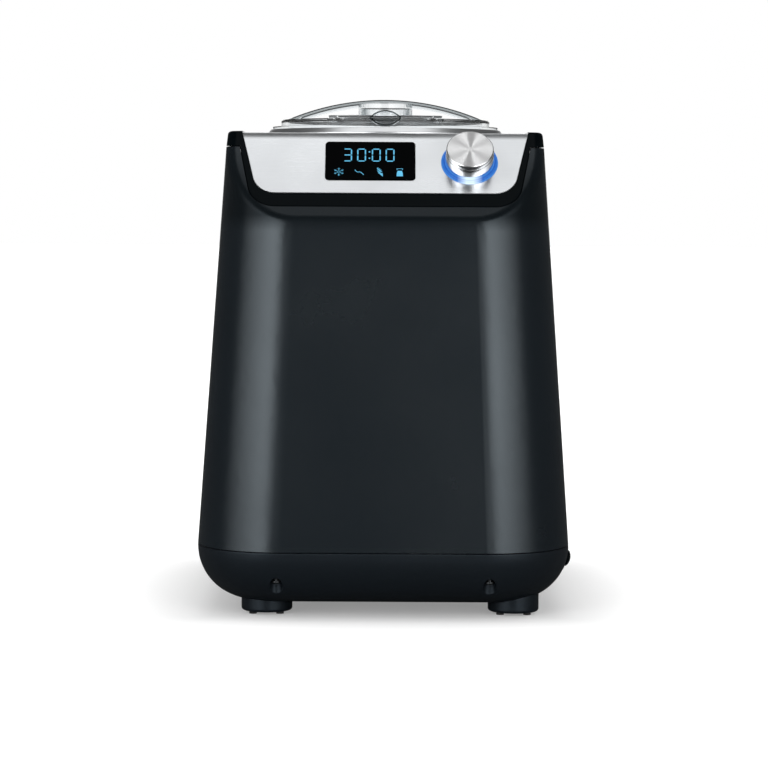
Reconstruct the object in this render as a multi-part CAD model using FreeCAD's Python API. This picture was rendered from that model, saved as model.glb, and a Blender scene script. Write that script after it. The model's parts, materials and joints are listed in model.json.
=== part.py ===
"""An upright compressor ice cream maker, built as an assembly of separate pieces.

Frame: millimetres, +Z up, the front faces -Y, the feet stand on Z = 0.
The body is centred on X = 0, Y = 0.
The body is a tower that narrows towards the top, with a chamfered control panel along its front top edge.
Each piece is one file in parts/, and each function below makes one piece or one group of like pieces.
"""

import FreeCAD
import Part

import math
import os

from FreeCAD import Rotation, Vector

# ---------------------------------------------------------------- driving dimensions
# Tower: one plan outline, scaled evenly with height.
HALF_W = 131.7          # half width at the seam between shell and base
HALF_D = 158.0          # half depth at the seam
CORNER_FRONT = 60.0     # plan corner radius of the front corners at the seam
CORNER_BACK = 45.0      # plan corner radius of the back corners at the seam
SEAM_Z = 48.5           # height of the seam
RIM_Z = 340.0           # top of the black rim around the deck
TOP_SCALE = 0.85        # plan size at RIM_Z over plan size at SEAM_Z
WALL = 2.5              # moulded wall thickness
SEAM_GAP = 0.6          # shadow gap between outside pieces
EDGE_ROUND = 3.0        # rounding of the rim's outer edge

# Chamfer: the plane that carries the control panel.
SLOPE_DEG = 50.0        # its angle above the horizontal
SLOPE_FOOT_Y = -138.5   # a point on the steel's outer face
SLOPE_FOOT_Z = 281.0
SLOPE_ROUND = 10.0      # rounding between the chamfer and the front and corner faces

# Base pan.
BASE_ROUND = 37.5       # rounding of its lower edge
BASE_BOTTOM_Z = 9.5
PLATE_BOTTOM_Z = 8.0    # underside of the bottom plate
PLATE_HALF_W = 78.0
PLATE_HALF_D = 90.0
PLATE_CORNER = 16.0
CHASSIS_Z = 24.0        # underside of the chassis plate
CHASSIS_TOP_Z = 26.0

# Steel top sheet.
SHEET = 1.0             # sheet thickness
DECK_Z = 339.0          # top face of the sheet on the deck
BEND_R = 15.0           # outer radius of the bend between deck and slope
PANEL_BOTTOM_Z = 296.5  # lower edge of the sheet
PANEL_HALF_TOP = 101.0  # half width where the slope meets the deck
PANEL_UP_TOP = 55.5     # slope length from the lower edge to the deck
PANEL_SIDE_DEG = 12.0   # how far each side edge leans in towards the bottom, in the slope's plane
PANEL_CORNER = 17.0
DECK_FRONT_Y = -89.8    # where the slope meets the deck
DECK_BACK_Y = 124.0
DECK_CORNER = 28.0
FASCIA_HALF_TOP = 104.4 # black border, outer half width where the slope meets the deck
FASCIA_SIDE_DEG = 10.4
FASCIA_BOTTOM = 11.1    # black border below the steel
FASCIA_CORNER = 19.0
FRAME_WALL = 2.5
RIM_SKIRT_Z = 329.3     # lower edge of the rim's skirt at the sides and back

# Freezing chamber, bowl and lid all share one axis.
BOWL_Y = 20.0
COLLAR_R_IN = 77.0
COLLAR_R_OUT = 88.0
COLLAR_TOP_Z = 343.4
COLLAR_SEAT = 2.8       # width of the step that rests on the chamber's flange
POT_R = 75.0            # inside radius of the chamber
POT_WALL = 1.2
POT_FLOOR_Z = 206.0
POT_TOP_Z = 335.0
BOWL_R = 72.0           # outside radius of the removable bowl
BOWL_WALL = 1.4
BOWL_FLOOR_Z = 208.4
BOWL_RIM_Z = 330.0
BOWL_TUBE_R = 11.0      # inside radius of the bowl's centre tube
BOWL_TUBE_TOP_Z = 290.0
BOSS_R_IN = 8.0         # the chamber's centre boss, which the bowl's tube slides over
BOSS_R_OUT = 9.6
BOSS_TOP_Z = 276.0
COIL_R = 79.6
COIL_PIPE_R = 3.0
COIL_FROM_Z = 214.0
COIL_TO_Z = 322.0
COIL_PITCH = 12.0
JACKET_R_IN = 84.0      # rigid foam around the coil
JACKET_R_OUT = 98.0
INSULATION_Z = 190.0    # underside of the foam
INSULATION_H = 10.0     # thickness of the foam below the chamber

# Mixing paddle.
SLEEVE_R_IN = 13.4
SLEEVE_R_OUT = 15.4
PADDLE_LOW_Z = 212.0
PADDLE_TOP_Z = 304.0
BLADE_TOP_Z = 298.0
BLADE_REACH = 69.0
BLADE_T = 3.2

# Clear lid.
LID_FLANGE_R = 84.2
LID_SKIRT_R = COLLAR_R_IN - 2.2
LID_SKIRT_Z = 336.0     # lower edge of the skirt inside the collar
LID_GAP = 0.4           # gap around the flap
LID_WALL_R = 78.0
LID_TOP_Z = 350.5
LID_SKIN = 2.0
LID_APEX_Z = 365.6      # top of the bow handle
HANDLE_R = 184.0        # radius of the bow handle's top face
HANDLE_HALF_SPAN = 71.0
HANDLE_HALF_DEPTH = 14.0
HUB_R = 20.2
FLAP_HALF_W = 41.0
FLAP_HINGE_Y = BOWL_Y - 26.0
FLAP_HINGE_Z = 350.7
FLAP_PIN_R = 0.9
FLAP_WALL_R = 75.4      # inside radius of the flap's front wall
KNUCKLE_R = 1.8
KNUCKLE_HALF = 30.0     # half length of the flap's knuckle
EAR_X = (30.4, 36.0)    # inner and outer end of the lid's ears
THUMB_R = 14.65         # radius of both arcs of the thumb scoop
THUMB_OFFSET = 9.0      # from the scoop's middle to the centre of each arc
THUMB_Z = 350.5
THUMB_BACK_Y = -38.0

# Control panel furniture, placed by X and by distance up the slope from the sheet's lower edge.
KNOB_X = 59.2
KNOB_UP = 28.2
KNOB_R = 16.8
KNOB_FACE = 14.5        # height of the knob's face above the sheet
RING_R = 20.0
RING_HEIGHT = 2.4
KNOB_BACK = 3.4         # back of the knob above the sheet
WINDOW_X = -10.4
WINDOW_HALF_W = 31.4
WINDOW_LOW = 11.6
WINDOW_HIGH = 46.6
WINDOW_CORNER = 2.6

# Power button on the right side of the base.
BUTTON_X = 129.6
BUTTON_Y = -84.0
BUTTON_Z = 36.5
BUTTON_TILT_DEG = 13.0  # its axis points this far below the horizontal
BUTTON_R = 5.7
BUTTON_BEZEL_R = 9.0

# Feet: the pair sits a little to the right of the body's middle.
FOOT_SHIFT_X = 5.1
FOOT_HALF_SPAN_X = 87.2
FOOT_Y = 110.0
FOOT_R = 18.0
FOOT_BOTTOM_Z = 2.0
STUD_R = 2.7
PAD_R = 14.5

# Screw wells in the base.
WELL_X = 74.0
WELL_Y = 149.4
WELL_R = 4.7
WELL_TOP_Z = 34.0

# Drive train below the chamber.
TRAY_Z = 183.0          # underside of the tray that carries the chamber
MODULE = 1.0
WHEEL_TEETH = 48
PINION_TEETH = 12
BACKLASH = 0.30         # tooth thinning at the pitch circle
CENTRES = MODULE * (WHEEL_TEETH + PINION_TEETH) / 2.0
IDLER_AT = (CENTRES, BOWL_Y)
MOTOR_AT = (CENTRES, BOWL_Y + CENTRES)
GEARBOX_FLOOR_Z = 155.0
GEARBOX_COVER_Z = 181.0
SHAFT_R = 4.0
FIT = 0.05              # radial clearance of running fits
HEX_AF = 10.0           # drive dog, across flats
HEX_FROM_Z = 280.0
HEX_TOP_Z = 300.0

OUTPUT_GEAR_Z = (170.0, 176.0)
IDLER_WHEEL_Z = (160.0, 165.0)
IDLER_TOP_Z = 177.5
IDLER_PIN_R = 2.5
MOTOR_PINION_Z = (158.0, 167.0)
SHAFT_FOOT_Z = 157.2
PRESSURE_DEG = 20.0
WHEEL_ADDENDUM = 0.7
PINION_ADDENDUM = 0.9
PINION_PHASE_DEG = 15.0  # first tooth of each pinion, so that it meets a gap of its wheel
MOTOR_Z = (84.0, GEARBOX_FLOOR_Z)
MOTOR_R = 22.0
MOTOR_SHAFT_R = 2.0

# Vents, rear cover and cable gland.
VENT_Y = (-72.0, 22.0)
VENT_Z = (58.0, 150.0)
REAR_HALF_W = 66.0
REAR_Z = (80.0, 210.0)
SLOT_H = 3.4
SLOT_PITCH = 7.6
GLAND_X = -70.0
GLAND_Z = 63.0
GLAND_R = 7.0
CORD_R = 3.6            # bore for the mains cord

# Screws.
SCREW_R = 1.4
SCREW_HOLE_R = 1.6      # clearance hole
SCREW_HEAD_R = 3.0
SCREW_HEAD_H = 1.8
REAR_SCREW_INSET = 7.0
REAR_SCREWS = [(sx * (REAR_HALF_W - REAR_SCREW_INSET), z) for sx in (-1, 1)
               for z in (REAR_Z[0] + REAR_SCREW_INSET, REAR_Z[1] - REAR_SCREW_INSET)]
PLATE_SCREWS = [(sx * 72.5, sy * 60.0) for sx in (-1, 1) for sy in (-1, 1)]
CHASSIS_POSTS = [(sx * 90.0, sy * 60.0) for sx in (-1, 1) for sy in (-1, 1)]
WELLS = [(sx * WELL_X, sy * WELL_Y) for sx in (-1, 1) for sy in (-1, 1)]
FEET = {
    "front_left": (FOOT_SHIFT_X - FOOT_HALF_SPAN_X, -FOOT_Y),
    "front_right": (FOOT_SHIFT_X + FOOT_HALF_SPAN_X, -FOOT_Y),
    "rear_left": (FOOT_SHIFT_X - FOOT_HALF_SPAN_X, FOOT_Y),
    "rear_right": (FOOT_SHIFT_X + FOOT_HALF_SPAN_X, FOOT_Y),
}

# Sheet bridge over the works.
SUPPORT_X = 108.0
SUPPORT_Y = (-72.0, 106.0)
SUPPORT_T = 1.6

# Refrigeration and electronics.
COMPRESSOR_AT = (-32.0, -56.0)
COMPRESSOR_R = 52.0
COMPRESSOR_Z = (36.0, 148.0)
COMPRESSOR_MOUNT = 41.0  # from the compressor's axis to each rubber bush, along X and along Y
CONDENSER_X = (88.0, 104.0)
CONDENSER_Y = (-66.0, 16.0)
CONDENSER_Z = (38.0, 136.0)
FIN_PITCH = 4.0
FIN_T = 0.6
FAN_AT = (-25.0, 86.0)
FAN_X = (58.0, 82.0)
FAN_HALF = 42.0
FAN_HUB_R = 14.0
FAN_AXLE_R = 2.0
FAN_BLADES = 7
DRIER_AT = (72.0, 84.0)
BOARD_Y = 96.0

SIN_S = math.sin(math.radians(SLOPE_DEG))
COS_S = math.cos(math.radians(SLOPE_DEG))
SLOPE_NORMAL = Vector(0, -SIN_S, COS_S)
SLOPE_UP = Vector(0, COS_S, SIN_S)
X_AXIS, Y_AXIS, Z_AXIS = Vector(1, 0, 0), Vector(0, 1, 0), Vector(0, 0, 1)
OUT = "parts"



# ---------------------------------------------------------------- shape helpers
def scale_at(z):
    """Plan scale of the tower at height z."""
    return 1.0 - (1.0 - TOP_SCALE) * (z - SEAM_Z) / (RIM_Z - SEAM_Z)


def rounded_outline(half_x, y_front, y_back, r_front, r_back, z):
    """A closed wire at height z: a rectangle with different corner radii at the front and the back."""
    corners = [
        (-half_x + r_front, y_front + r_front, r_front, 180, 270),
        (half_x - r_front, y_front + r_front, r_front, 270, 360),
        (half_x - r_back, y_back - r_back, r_back, 0, 90),
        (-half_x + r_back, y_back - r_back, r_back, 90, 180),
    ]
    arcs = [Part.makeCircle(r, Vector(x, y, z), Z_AXIS, a, b) for x, y, r, a, b in corners]
    edges = []
    for this, after in zip(arcs, arcs[1:] + arcs[:1]):
        start, end = this.Vertexes[-1].Point, after.Vertexes[0].Point
        edges += [this, Part.makeLine(start, end)]
    return Part.Wire(edges)


def tower_outline(z, inset=0.0, scale=None):
    """The tower's plan outline at height z, moved inwards by inset."""
    s = scale_at(z) if scale is None else scale
    return rounded_outline(
        HALF_W * s - inset, -HALF_D * s + inset, HALF_D * s - inset,
        CORNER_FRONT * s - inset, CORNER_BACK * s - inset, z,
    )


def tower(z_low, z_high, inset=0.0):
    """The tower's solid between two heights, without its chamfer."""
    return Part.makeLoft([tower_outline(z_low, inset), tower_outline(z_high, inset)], True, True)


def prism(outline, height):
    """A plan outline pulled straight up by height."""
    return Part.Face(outline).extrude(Vector(0, 0, height))


def box(x0, x1, y0, y1, z0, z1):
    return Part.makeBox(x1 - x0, y1 - y0, z1 - z0, Vector(x0, y0, z0))


def rod(r, z0, z1, x=0.0, y=0.0):
    """A vertical cylinder."""
    return Part.makeCylinder(r, z1 - z0, Vector(x, y, z0))


def tube(r_out, r_in, z0, z1, x=0.0, y=0.0):
    return rod(r_out, z0, z1, x, y).cut(rod(r_in, z0 - 1, z1 + 1, x, y))


def turned(points, x=0.0, y=0.0):
    """A solid of revolution about a vertical axis, from (radius, height) points."""
    ring = [Vector(r, 0, z) for r, z in points]
    solid = Part.Face(Part.makePolygon(ring + ring[:1])).revolve(Vector(0, 0, 0), Z_AXIS, 360)
    return solid.translated(Vector(x, y, 0))


def fused(shapes):
    first, rest = shapes[0], shapes[1:]
    return first.fuse(rest).removeSplitter() if rest else first


def hexagon(across_flats, z0, z1, x=0.0, y=0.0):
    """A vertical hexagonal bar."""
    r = across_flats / math.sqrt(3.0)
    ring = [Vector(x + r * math.cos(math.radians(60 * k)), y + r * math.sin(math.radians(60 * k)), z0)
            for k in range(7)]
    return Part.Face(Part.makePolygon(ring)).extrude(Vector(0, 0, z1 - z0))


def on_slope(x, up, out=0.0):
    """A point on the sheet's outer face: x across, up the slope from its lower edge, out along its normal."""
    foot = Vector(0, SLOPE_FOOT_Y + (PANEL_BOTTOM_Z - SLOPE_FOOT_Z) * COS_S / SIN_S, PANEL_BOTTOM_Z)
    return foot + X_AXIS * x + SLOPE_UP * up + SLOPE_NORMAL * out


def slope_rod(r, x, up, low, high):
    """A cylinder that stands on the slope."""
    return Part.makeCylinder(r, high - low, on_slope(x, up, low), SLOPE_NORMAL)


def slope_outline(half_top, up_top, side_deg, up_bottom, corner, out):
    """A wire in the slope's plane: open at the top, with leaning sides and two round lower corners."""
    lean = math.tan(math.radians(side_deg))
    half_bottom = half_top - (up_top - up_bottom) * lean
    tangent = corner * math.tan(math.radians((90.0 - side_deg) / 2.0))
    side = Vector(math.sin(math.radians(side_deg)), math.cos(math.radians(side_deg)))

    def point(x, up):
        return on_slope(x, up, out)

    def corner_edges(sign):
        start = point(sign * (half_bottom - tangent), up_bottom)
        end = point(sign * (half_bottom + tangent * side.x), up_bottom + tangent * side.y)
        bend = math.radians(90.0 - side_deg)
        mid_x = half_bottom - tangent + corner * math.sin(bend / 2.0)
        middle = point(sign * mid_x, up_bottom + corner * (1.0 - math.cos(bend / 2.0)))
        return start, end, Part.Arc(start, middle, end).toShape()

    right_start, right_end, right_arc = corner_edges(1)
    left_start, left_end, left_arc = corner_edges(-1)
    top_right, top_left = point(half_top, up_top), point(-half_top, up_top)
    return Part.Wire(Part.__sortEdges__([
        Part.makeLine(left_start, right_start), right_arc, Part.makeLine(right_end, top_right),
        Part.makeLine(top_right, top_left), Part.makeLine(top_left, left_end), left_arc,
    ]))


def slope_prism(half_top, up_top, side_deg, up_bottom, corner, low, high):
    wire = slope_outline(half_top, up_top, side_deg, up_bottom, corner, low)
    return Part.Face(wire).extrude(SLOPE_NORMAL * (high - low))


def above_slope(out):
    """Everything on the outer side of the chamfer's plane, moved out along its normal."""
    wire = Part.makePolygon([on_slope(x, up, out) for x, up in
                             ((-200, -150), (200, -150), (200, 150), (-200, 150), (-200, -150))])
    return Part.Face(wire).extrude(SLOPE_NORMAL * 150.0)


def screw(x, y, z_head, length):
    """A pan head screw with a cross recess. Its head's flat side is at z_head and its shank points up."""
    bottom = z_head - SCREW_HEAD_H
    head = Part.makeCylinder(SCREW_HEAD_R, SCREW_HEAD_H, Vector(x, y, bottom))
    head = head.makeFillet(0.8, [head.Edges[2]])
    slot = box(x - 1.7, x + 1.7, y - 0.4, y + 0.4, bottom - 0.1, bottom + 1.0)
    cross = slot.fuse(slot.copy().rotated(Vector(x, y, 0), Z_AXIS, 90))
    return head.fuse(rod(SCREW_R, z_head, z_head + length, x, y)).cut(cross)


def pipe_route(points, r):
    """A tube along straight runs joined by tangent arcs, each as large as its two runs allow."""
    edges, at = [], points[0]
    for before, corner, after in zip(points, points[1:], points[2:]):
        back, ahead = (before - corner).normalize(), (after - corner).normalize()
        turn = math.pi - back.getAngle(ahead)
        run = min((before - corner).Length, (after - corner).Length)
        radius = 0.45 * run / math.tan(turn / 2.0)
        reach = radius * math.tan(turn / 2.0)
        start, end = corner + back * reach, corner + ahead * reach
        inward = (back + ahead).normalize()
        centre = corner + inward * (radius / math.cos(turn / 2.0))
        middle = centre - inward * radius
        edges += [Part.makeLine(at, start), Part.Arc(start, middle, end).toShape()]
        at = end
    edges.append(Part.makeLine(at, points[-1]))
    path = Part.Wire(edges)
    section = Part.Wire(Part.makeCircle(r, points[0], points[1] - points[0]))
    return path.makePipeShell([section], True, False)


# ---------------------------------------------------------------- the tower with its chamfer
def chamfered_tower():
    """The whole outside above the seam: tapered, chamfered at the front, with its edges rounded."""
    body = tower(SEAM_Z, RIM_Z).cut(above_slope(-SHEET))
    slope_edges = [e for e in body.Edges if on_chamfer(e) and not at_height(e, RIM_Z)]
    body = body.makeFillet(SLOPE_ROUND, slope_edges)
    rim_edges = [e for e in body.Edges if at_height(e, RIM_Z) and e.CenterOfMass.y > -86.0]
    return body.makeFillet(EDGE_ROUND, rim_edges)


def on_chamfer(edge):
    """True where both ends and the middle of an edge lie in the chamfer's plane."""
    foot = on_slope(0, 0, -SHEET)
    middle = edge.valueAt((edge.FirstParameter + edge.LastParameter) / 2)
    points = [v.Point for v in edge.Vertexes] + [middle]
    return all(abs((point - foot).dot(SLOPE_NORMAL)) < 0.01 for point in points)


def at_height(edge, z):
    return all(abs(v.Point.z - z) < 0.01 for v in edge.Vertexes)


def hollow(inset, slope_inset, z_low, z_high):
    """The room inside the tower, for cutting."""
    return tower(z_low, z_high, inset).cut(above_slope(-slope_inset))


def bent_path(out, y_back=160.0, foot_up=-60.0):
    """The sheet's bent line, moved out from its outer face: its two ends and its three edges."""
    centre_y = DECK_FRONT_Y + BEND_R * math.tan(math.radians(SLOPE_DEG / 2.0))
    centre = Vector(-120, centre_y, DECK_Z - BEND_R)
    r = BEND_R + out
    bend = [centre + Vector(0, -r * math.sin(math.radians(a)), r * math.cos(math.radians(a)))
            for a in (SLOPE_DEG, SLOPE_DEG / 2.0, 0.0)]
    foot = on_slope(-120, foot_up, out)
    back = Vector(-120, y_back, DECK_Z + out)
    arc = Part.Arc(bend[0], bend[1], bend[2]).toShape()
    return foot, back, [Part.makeLine(foot, bend[0]), arc, Part.makeLine(bend[2], back)]


def panel_profile(low, high):
    """The sheet's bent section between two heights over its outer face, as a solid 240 wide."""
    foot_low, back_low, lower = bent_path(low)
    foot_high, back_high, upper = bent_path(high)
    ends = [Part.makeLine(foot_low, foot_high), Part.makeLine(back_low, back_high)]
    wire = Part.Wire(Part.__sortEdges__(lower + upper + ends))
    return Part.Face(wire).extrude(Vector(240, 0, 0))


def under_panel(out):
    """Everything below the sheet's bent line, moved out from its outer face."""
    foot, back, upper = bent_path(out)
    low_front, low_back = Vector(-120, foot.y, 150), Vector(-120, back.y, 150)
    corners = [foot, low_front, low_back, back]
    sides = [Part.makeLine(start, end) for start, end in zip(corners, corners[1:])]
    return Part.Face(Part.Wire(Part.__sortEdges__(upper + sides))).extrude(Vector(240, 0, 0))


def panel_footprint(grow=0.0):
    """The steel's outline: leaning sides on the slope, straight sides and round back corners on the deck."""
    half_top, corner = PANEL_HALF_TOP + grow, PANEL_CORNER + grow
    slope = slope_prism(half_top, PANEL_UP_TOP, PANEL_SIDE_DEG, -grow, corner, -30, 40)
    slope = slope.common(box(-150, 150, -200, DECK_FRONT_Y, 200, 400))
    deck = prism(rounded_outline(
        half_top, DECK_FRONT_Y, DECK_BACK_Y + grow, 0.01, DECK_CORNER + grow, 300), 100)
    return slope, deck


def in_footprint(shape, grow=0.0):
    slope, deck = panel_footprint(grow)
    front = box(-150, 150, -200, DECK_FRONT_Y, 200, 400)
    return fused([shape.common(front).common(slope), shape.common(deck)])


def frame_zone(gap=0.0):
    """The part of the tower that the black top frame takes: the rim band and the border on the slope."""
    band = box(-150, 150, -110, 200, RIM_SKIRT_Z - gap, 400)
    up_top = PANEL_UP_TOP - (DECK_Z - RIM_SKIRT_Z) / SIN_S + 6.0
    lean = math.tan(math.radians(FASCIA_SIDE_DEG))
    half_top = FASCIA_HALF_TOP - (PANEL_UP_TOP - up_top) * lean + gap
    low, corner = -FASCIA_BOTTOM - gap, FASCIA_CORNER + gap
    border = slope_prism(half_top, up_top, FASCIA_SIDE_DEG, low, corner, -22, 30)
    return band.fuse(border)


def window_prism(grow, low, high):
    """The display window's outline pulled along the slope's normal."""
    half_up = (WINDOW_HIGH - WINDOW_LOW) / 2.0 + grow
    half_x = WINDOW_HALF_W + grow
    flat = rounded_outline(half_x, -half_up, half_up, WINDOW_CORNER + grow, WINDOW_CORNER + grow, 0)
    solid = Part.Face(flat).extrude(Vector(0, 0, high - low))
    solid.rotate(Vector(0, 0, 0), X_AXIS, SLOPE_DEG)
    return solid.translated(on_slope(WINDOW_X, (WINDOW_LOW + WINDOW_HIGH) / 2.0, low))


def slope_box(x0, x1, up0, up1, low, high):
    """A box that stands on the slope."""
    solid = Part.makeBox(x1 - x0, up1 - up0, high - low)
    solid.rotate(Vector(0, 0, 0), X_AXIS, SLOPE_DEG)
    return solid.translated(on_slope(x0, up0, low))


def button_frame(shape):
    """Moves a shape made around the origin, facing +X, to the power button's place."""
    turn = Rotation(Y_AXIS, BUTTON_TILT_DEG)
    moved = shape.copy()
    moved.Placement = FreeCAD.Placement(Vector(BUTTON_X, BUTTON_Y, BUTTON_Z), turn)
    return moved


def x_rod(r, x0, x1, y=0.0, z=0.0):
    """A cylinder along X."""
    return Part.makeCylinder(r, x1 - x0, Vector(x0, y, z), X_AXIS)


def x_tube(r_out, r_in, x0, x1, y=0.0, z=0.0):
    return x_rod(r_out, x0, x1, y, z).cut(x_rod(r_in, x0 - 1, x1 + 1, y, z))


# ---------------------------------------------------------------- casing
def vent_zone(side, gap=0.0):
    y0, y1 = VENT_Y
    z0, z1 = VENT_Z
    x0, x1 = sorted((side * 100.0, side * 140.0))
    return box(x0, x1, y0 - gap, y1 + gap, z0 - gap, z1 + gap)


def rear_zone(gap=0.0):
    half = REAR_HALF_W + gap
    return box(-half, half, 120, 170, REAR_Z[0] - gap, REAR_Z[1] + gap)


def skin():
    """The tower's moulded wall, before it is divided into shell, frame, vents and rear cover."""
    return chamfered_tower().cut(hollow(WALL, SHEET + FRAME_WALL, SEAM_Z - 1, RIM_Z - 4.5))


def outer_shell(wall):
    shell = wall.cut(frame_zone(SEAM_GAP))
    cutters = [vent_zone(-1, SEAM_GAP), vent_zone(1, SEAM_GAP), rear_zone(SEAM_GAP)]
    gland = Part.makeCylinder(GLAND_R, 30, Vector(GLAND_X, 140, GLAND_Z), Y_AXIS)
    shell = shell.cut(fused(cutters + [gland]))
    return shell.fuse(screw_bosses()).removeSplitter()


def screw_bosses():
    """Posts behind the rear cover's screws, joined to the shell by the wall around the opening."""
    posts = []
    for side in (-1, 1):
        x0, x1 = sorted((side * (REAR_HALF_W - 12.0), side * (REAR_HALF_W + 6.0)))
        strip = box(x0, x1, 100, 170, REAR_Z[0] - 8, REAR_Z[1] + 8)
        ledge = tower(SEAM_Z, RIM_Z, WALL).cut(tower(SEAM_Z, RIM_Z, WALL + 2.0)).common(strip)
        for x, z in REAR_SCREWS:
            hole = Part.makeCylinder(SCREW_R, 60, Vector(x, 110, z), Y_AXIS)
            ledge = ledge.cut(hole)
        posts.append(ledge)
    return posts


def slots(y0, y1, z0, z1, x0, x1):
    """A stack of horizontal round-ended slots that run along Y, through X."""
    cutters = []
    count = int((z1 - z0 - SLOT_H) / SLOT_PITCH) + 1
    first = (z0 + z1 - (count - 1) * SLOT_PITCH) / 2.0
    for k in range(count):
        z = first + k * SLOT_PITCH
        half = SLOT_H / 2.0
        ends = [x_rod(half, x0, x1, y, z) for y in (y0, y1)]
        cutters.append(ends[0].fuse([ends[1], box(x0, x1, y0, y1, z - half, z + half)]))
    return cutters


def vent_grille(wall, side):
    grille = wall.common(vent_zone(side))
    y0, y1 = VENT_Y
    z0, z1 = VENT_Z
    middle = (y0 + y1) / 2.0
    x0, x1 = sorted((side * 95.0, side * 145.0))
    near = slots(y0 + 7, middle - 3.5, z0 + 5, z1 - 5, x0, x1)
    far = slots(middle + 3.5, y1 - 7, z0 + 5, z1 - 5, x0, x1)
    return grille.cut(near + far)


def rear_cover(wall):
    cover = wall.common(rear_zone())
    rows = slots(-48, 48, REAR_Z[0] + 28, REAR_Z[1] - 28, -20, 20)
    for row in rows:
        row.rotate(Vector(0, 0, 0), Z_AXIS, 90)
    cutters = [row.translated(Vector(0, 145, 0)) for row in rows]
    holes = [Part.makeCylinder(SCREW_HOLE_R, 60, Vector(x, 110, z), Y_AXIS) for x, z in REAR_SCREWS]
    return cover.cut(cutters + holes)


def base_solid(inset=0.0, z_low=BASE_BOTTOM_Z, rounding=BASE_ROUND):
    """The base's rounded bowl shape, filled."""
    top = SEAM_Z - SEAM_GAP
    block = prism(tower_outline(z_low, inset, 1.0), top - z_low + (5.0 if inset else 0.0))
    lower = [e for e in block.Edges if at_height(e, z_low)]
    return block.makeFillet(rounding, lower)


def base_pan():
    outer = base_solid()
    inner = base_solid(WALL, BASE_BOTTOM_Z + WALL, BASE_ROUND - WALL)
    pan = outer.cut(inner)
    bosses = [rod(WELL_R + 2.0, 5, 40, x, y) for x, y in WELLS]
    bosses += [rod(5.0, 5, CHASSIS_Z, x, y) for x, y in CHASSIS_POSTS]
    bosses += [button_frame(x_rod(BUTTON_BEZEL_R + 1.0, -9, 6))]
    pan = pan.fuse([boss.common(outer) for boss in bosses])
    opening = prism(plate_outline(0, 10.0), BASE_BOTTOM_Z + WALL + 1)
    bezel_seat = button_frame(x_rod(BUTTON_BEZEL_R, -1.5, 20))
    wells = [rod(WELL_R, 0, WELL_TOP_Z - 4, x, y) for x, y in WELLS]
    wells += [Part.makeCone(WELL_R, 0.6, 4, Vector(x, y, WELL_TOP_Z - 4)) for x, y in WELLS]
    plate_holes = [rod(SCREW_R, 0, 20, x, y) for x, y in PLATE_SCREWS]
    screw_holes = [rod(SCREW_R, 20, 60, x, y) for x, y in WELLS]
    button_hole = button_frame(x_rod(BUTTON_BEZEL_R - 1.5, -30, 20))
    return pan.cut([opening, button_hole, bezel_seat] + wells + plate_holes + screw_holes)


def plate_outline(z, inset=0.0):
    half_y, r = PLATE_HALF_D - inset, PLATE_CORNER - inset
    return rounded_outline(PLATE_HALF_W - inset, -half_y, half_y, r, r, z)


def bottom_plate():
    plate = prism(plate_outline(PLATE_BOTTOM_Z), BASE_BOTTOM_Z - PLATE_BOTTOM_Z)
    vents = []
    half = SLOT_H / 2.0
    for k in range(-5, 6):
        x = 9.0 * k
        ends = [rod(half, 0, 20, x, y) for y in (-30, 30)]
        vents.append(fused([box(x - half, x + half, -30, 30, 0, 20)] + ends))
    holes = [rod(SCREW_HOLE_R, 0, 20, x, y) for x, y in PLATE_SCREWS]
    return plate.cut(vents + holes)


def foot(x, y, base):
    body = rod(FOOT_R, FOOT_BOTTOM_Z, 22, x, y)
    body = body.makeFillet(2.0, [e for e in body.Edges if at_height(e, FOOT_BOTTOM_Z)])
    return body.cut([base, rod(PAD_R, 0, FOOT_BOTTOM_Z + 1.6, x, y)])


def foot_pad(x, y):
    disc = rod(PAD_R - 0.2, FOOT_BOTTOM_Z + 0.4, FOOT_BOTTOM_Z + 1.6, x, y)
    places = [(x + sx * 9.5, y + sy * 6.5) for sx in (-1, 1) for sy in (-1, 1)]
    studs = [rod(STUD_R, 0, FOOT_BOTTOM_Z + 0.8, *place) for place in places]
    return fused([disc] + studs)


def case_screws():
    """The casing's screws: four in the wells, four in the bottom plate and four in the rear cover."""
    screws = [screw(x, y, WELL_TOP_Z - 6.0, 16.0) for x, y in WELLS]
    screws += [screw(x, y, PLATE_BOTTOM_Z, 5.5) for x, y in PLATE_SCREWS]
    for x, z in REAR_SCREWS:
        y = HALF_D * scale_at(z) + 0.4
        lying = screw(0, 0, 0, 7.0).rotated(Vector(0, 0, 0), X_AXIS, 90)
        screws.append(lying.translated(Vector(x, y, z)))
    return Part.makeCompound(screws)


# ---------------------------------------------------------------- top: frame, steel, collar
def top_frame():
    """The glossy black rim around the deck and the border around the steel on the slope."""
    body = chamfered_tower().common(frame_zone())
    inside = tower(SEAM_Z, RIM_Z, WALL).common(under_panel(-SHEET - FRAME_WALL))
    frame = body.cut(inside)
    steel_space = in_footprint(panel_profile(-SHEET, 30))
    frame = frame.cut(steel_space)
    chamber_hole = rod(COLLAR_R_OUT - 4.0, 300, 360, 0, BOWL_Y)
    window_hole = window_prism(-2.0, -20, 5)
    knob_hole = slope_rod(6.0, KNOB_X, KNOB_UP, -20, 5)
    return frame.cut([chamber_hole, window_hole, knob_hole])


def top_panel():
    """The steel deck and the sloping control panel, bent from one sheet."""
    sheet = in_footprint(panel_profile(-SHEET, 0))
    chamber_hole = rod(COLLAR_R_IN + 3.0, 300, 360, 0, BOWL_Y)
    return sheet.cut([chamber_hole, window_prism(0.2, -20, 5), slope_rod(6.0, KNOB_X, KNOB_UP, -20, 5)])


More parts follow.
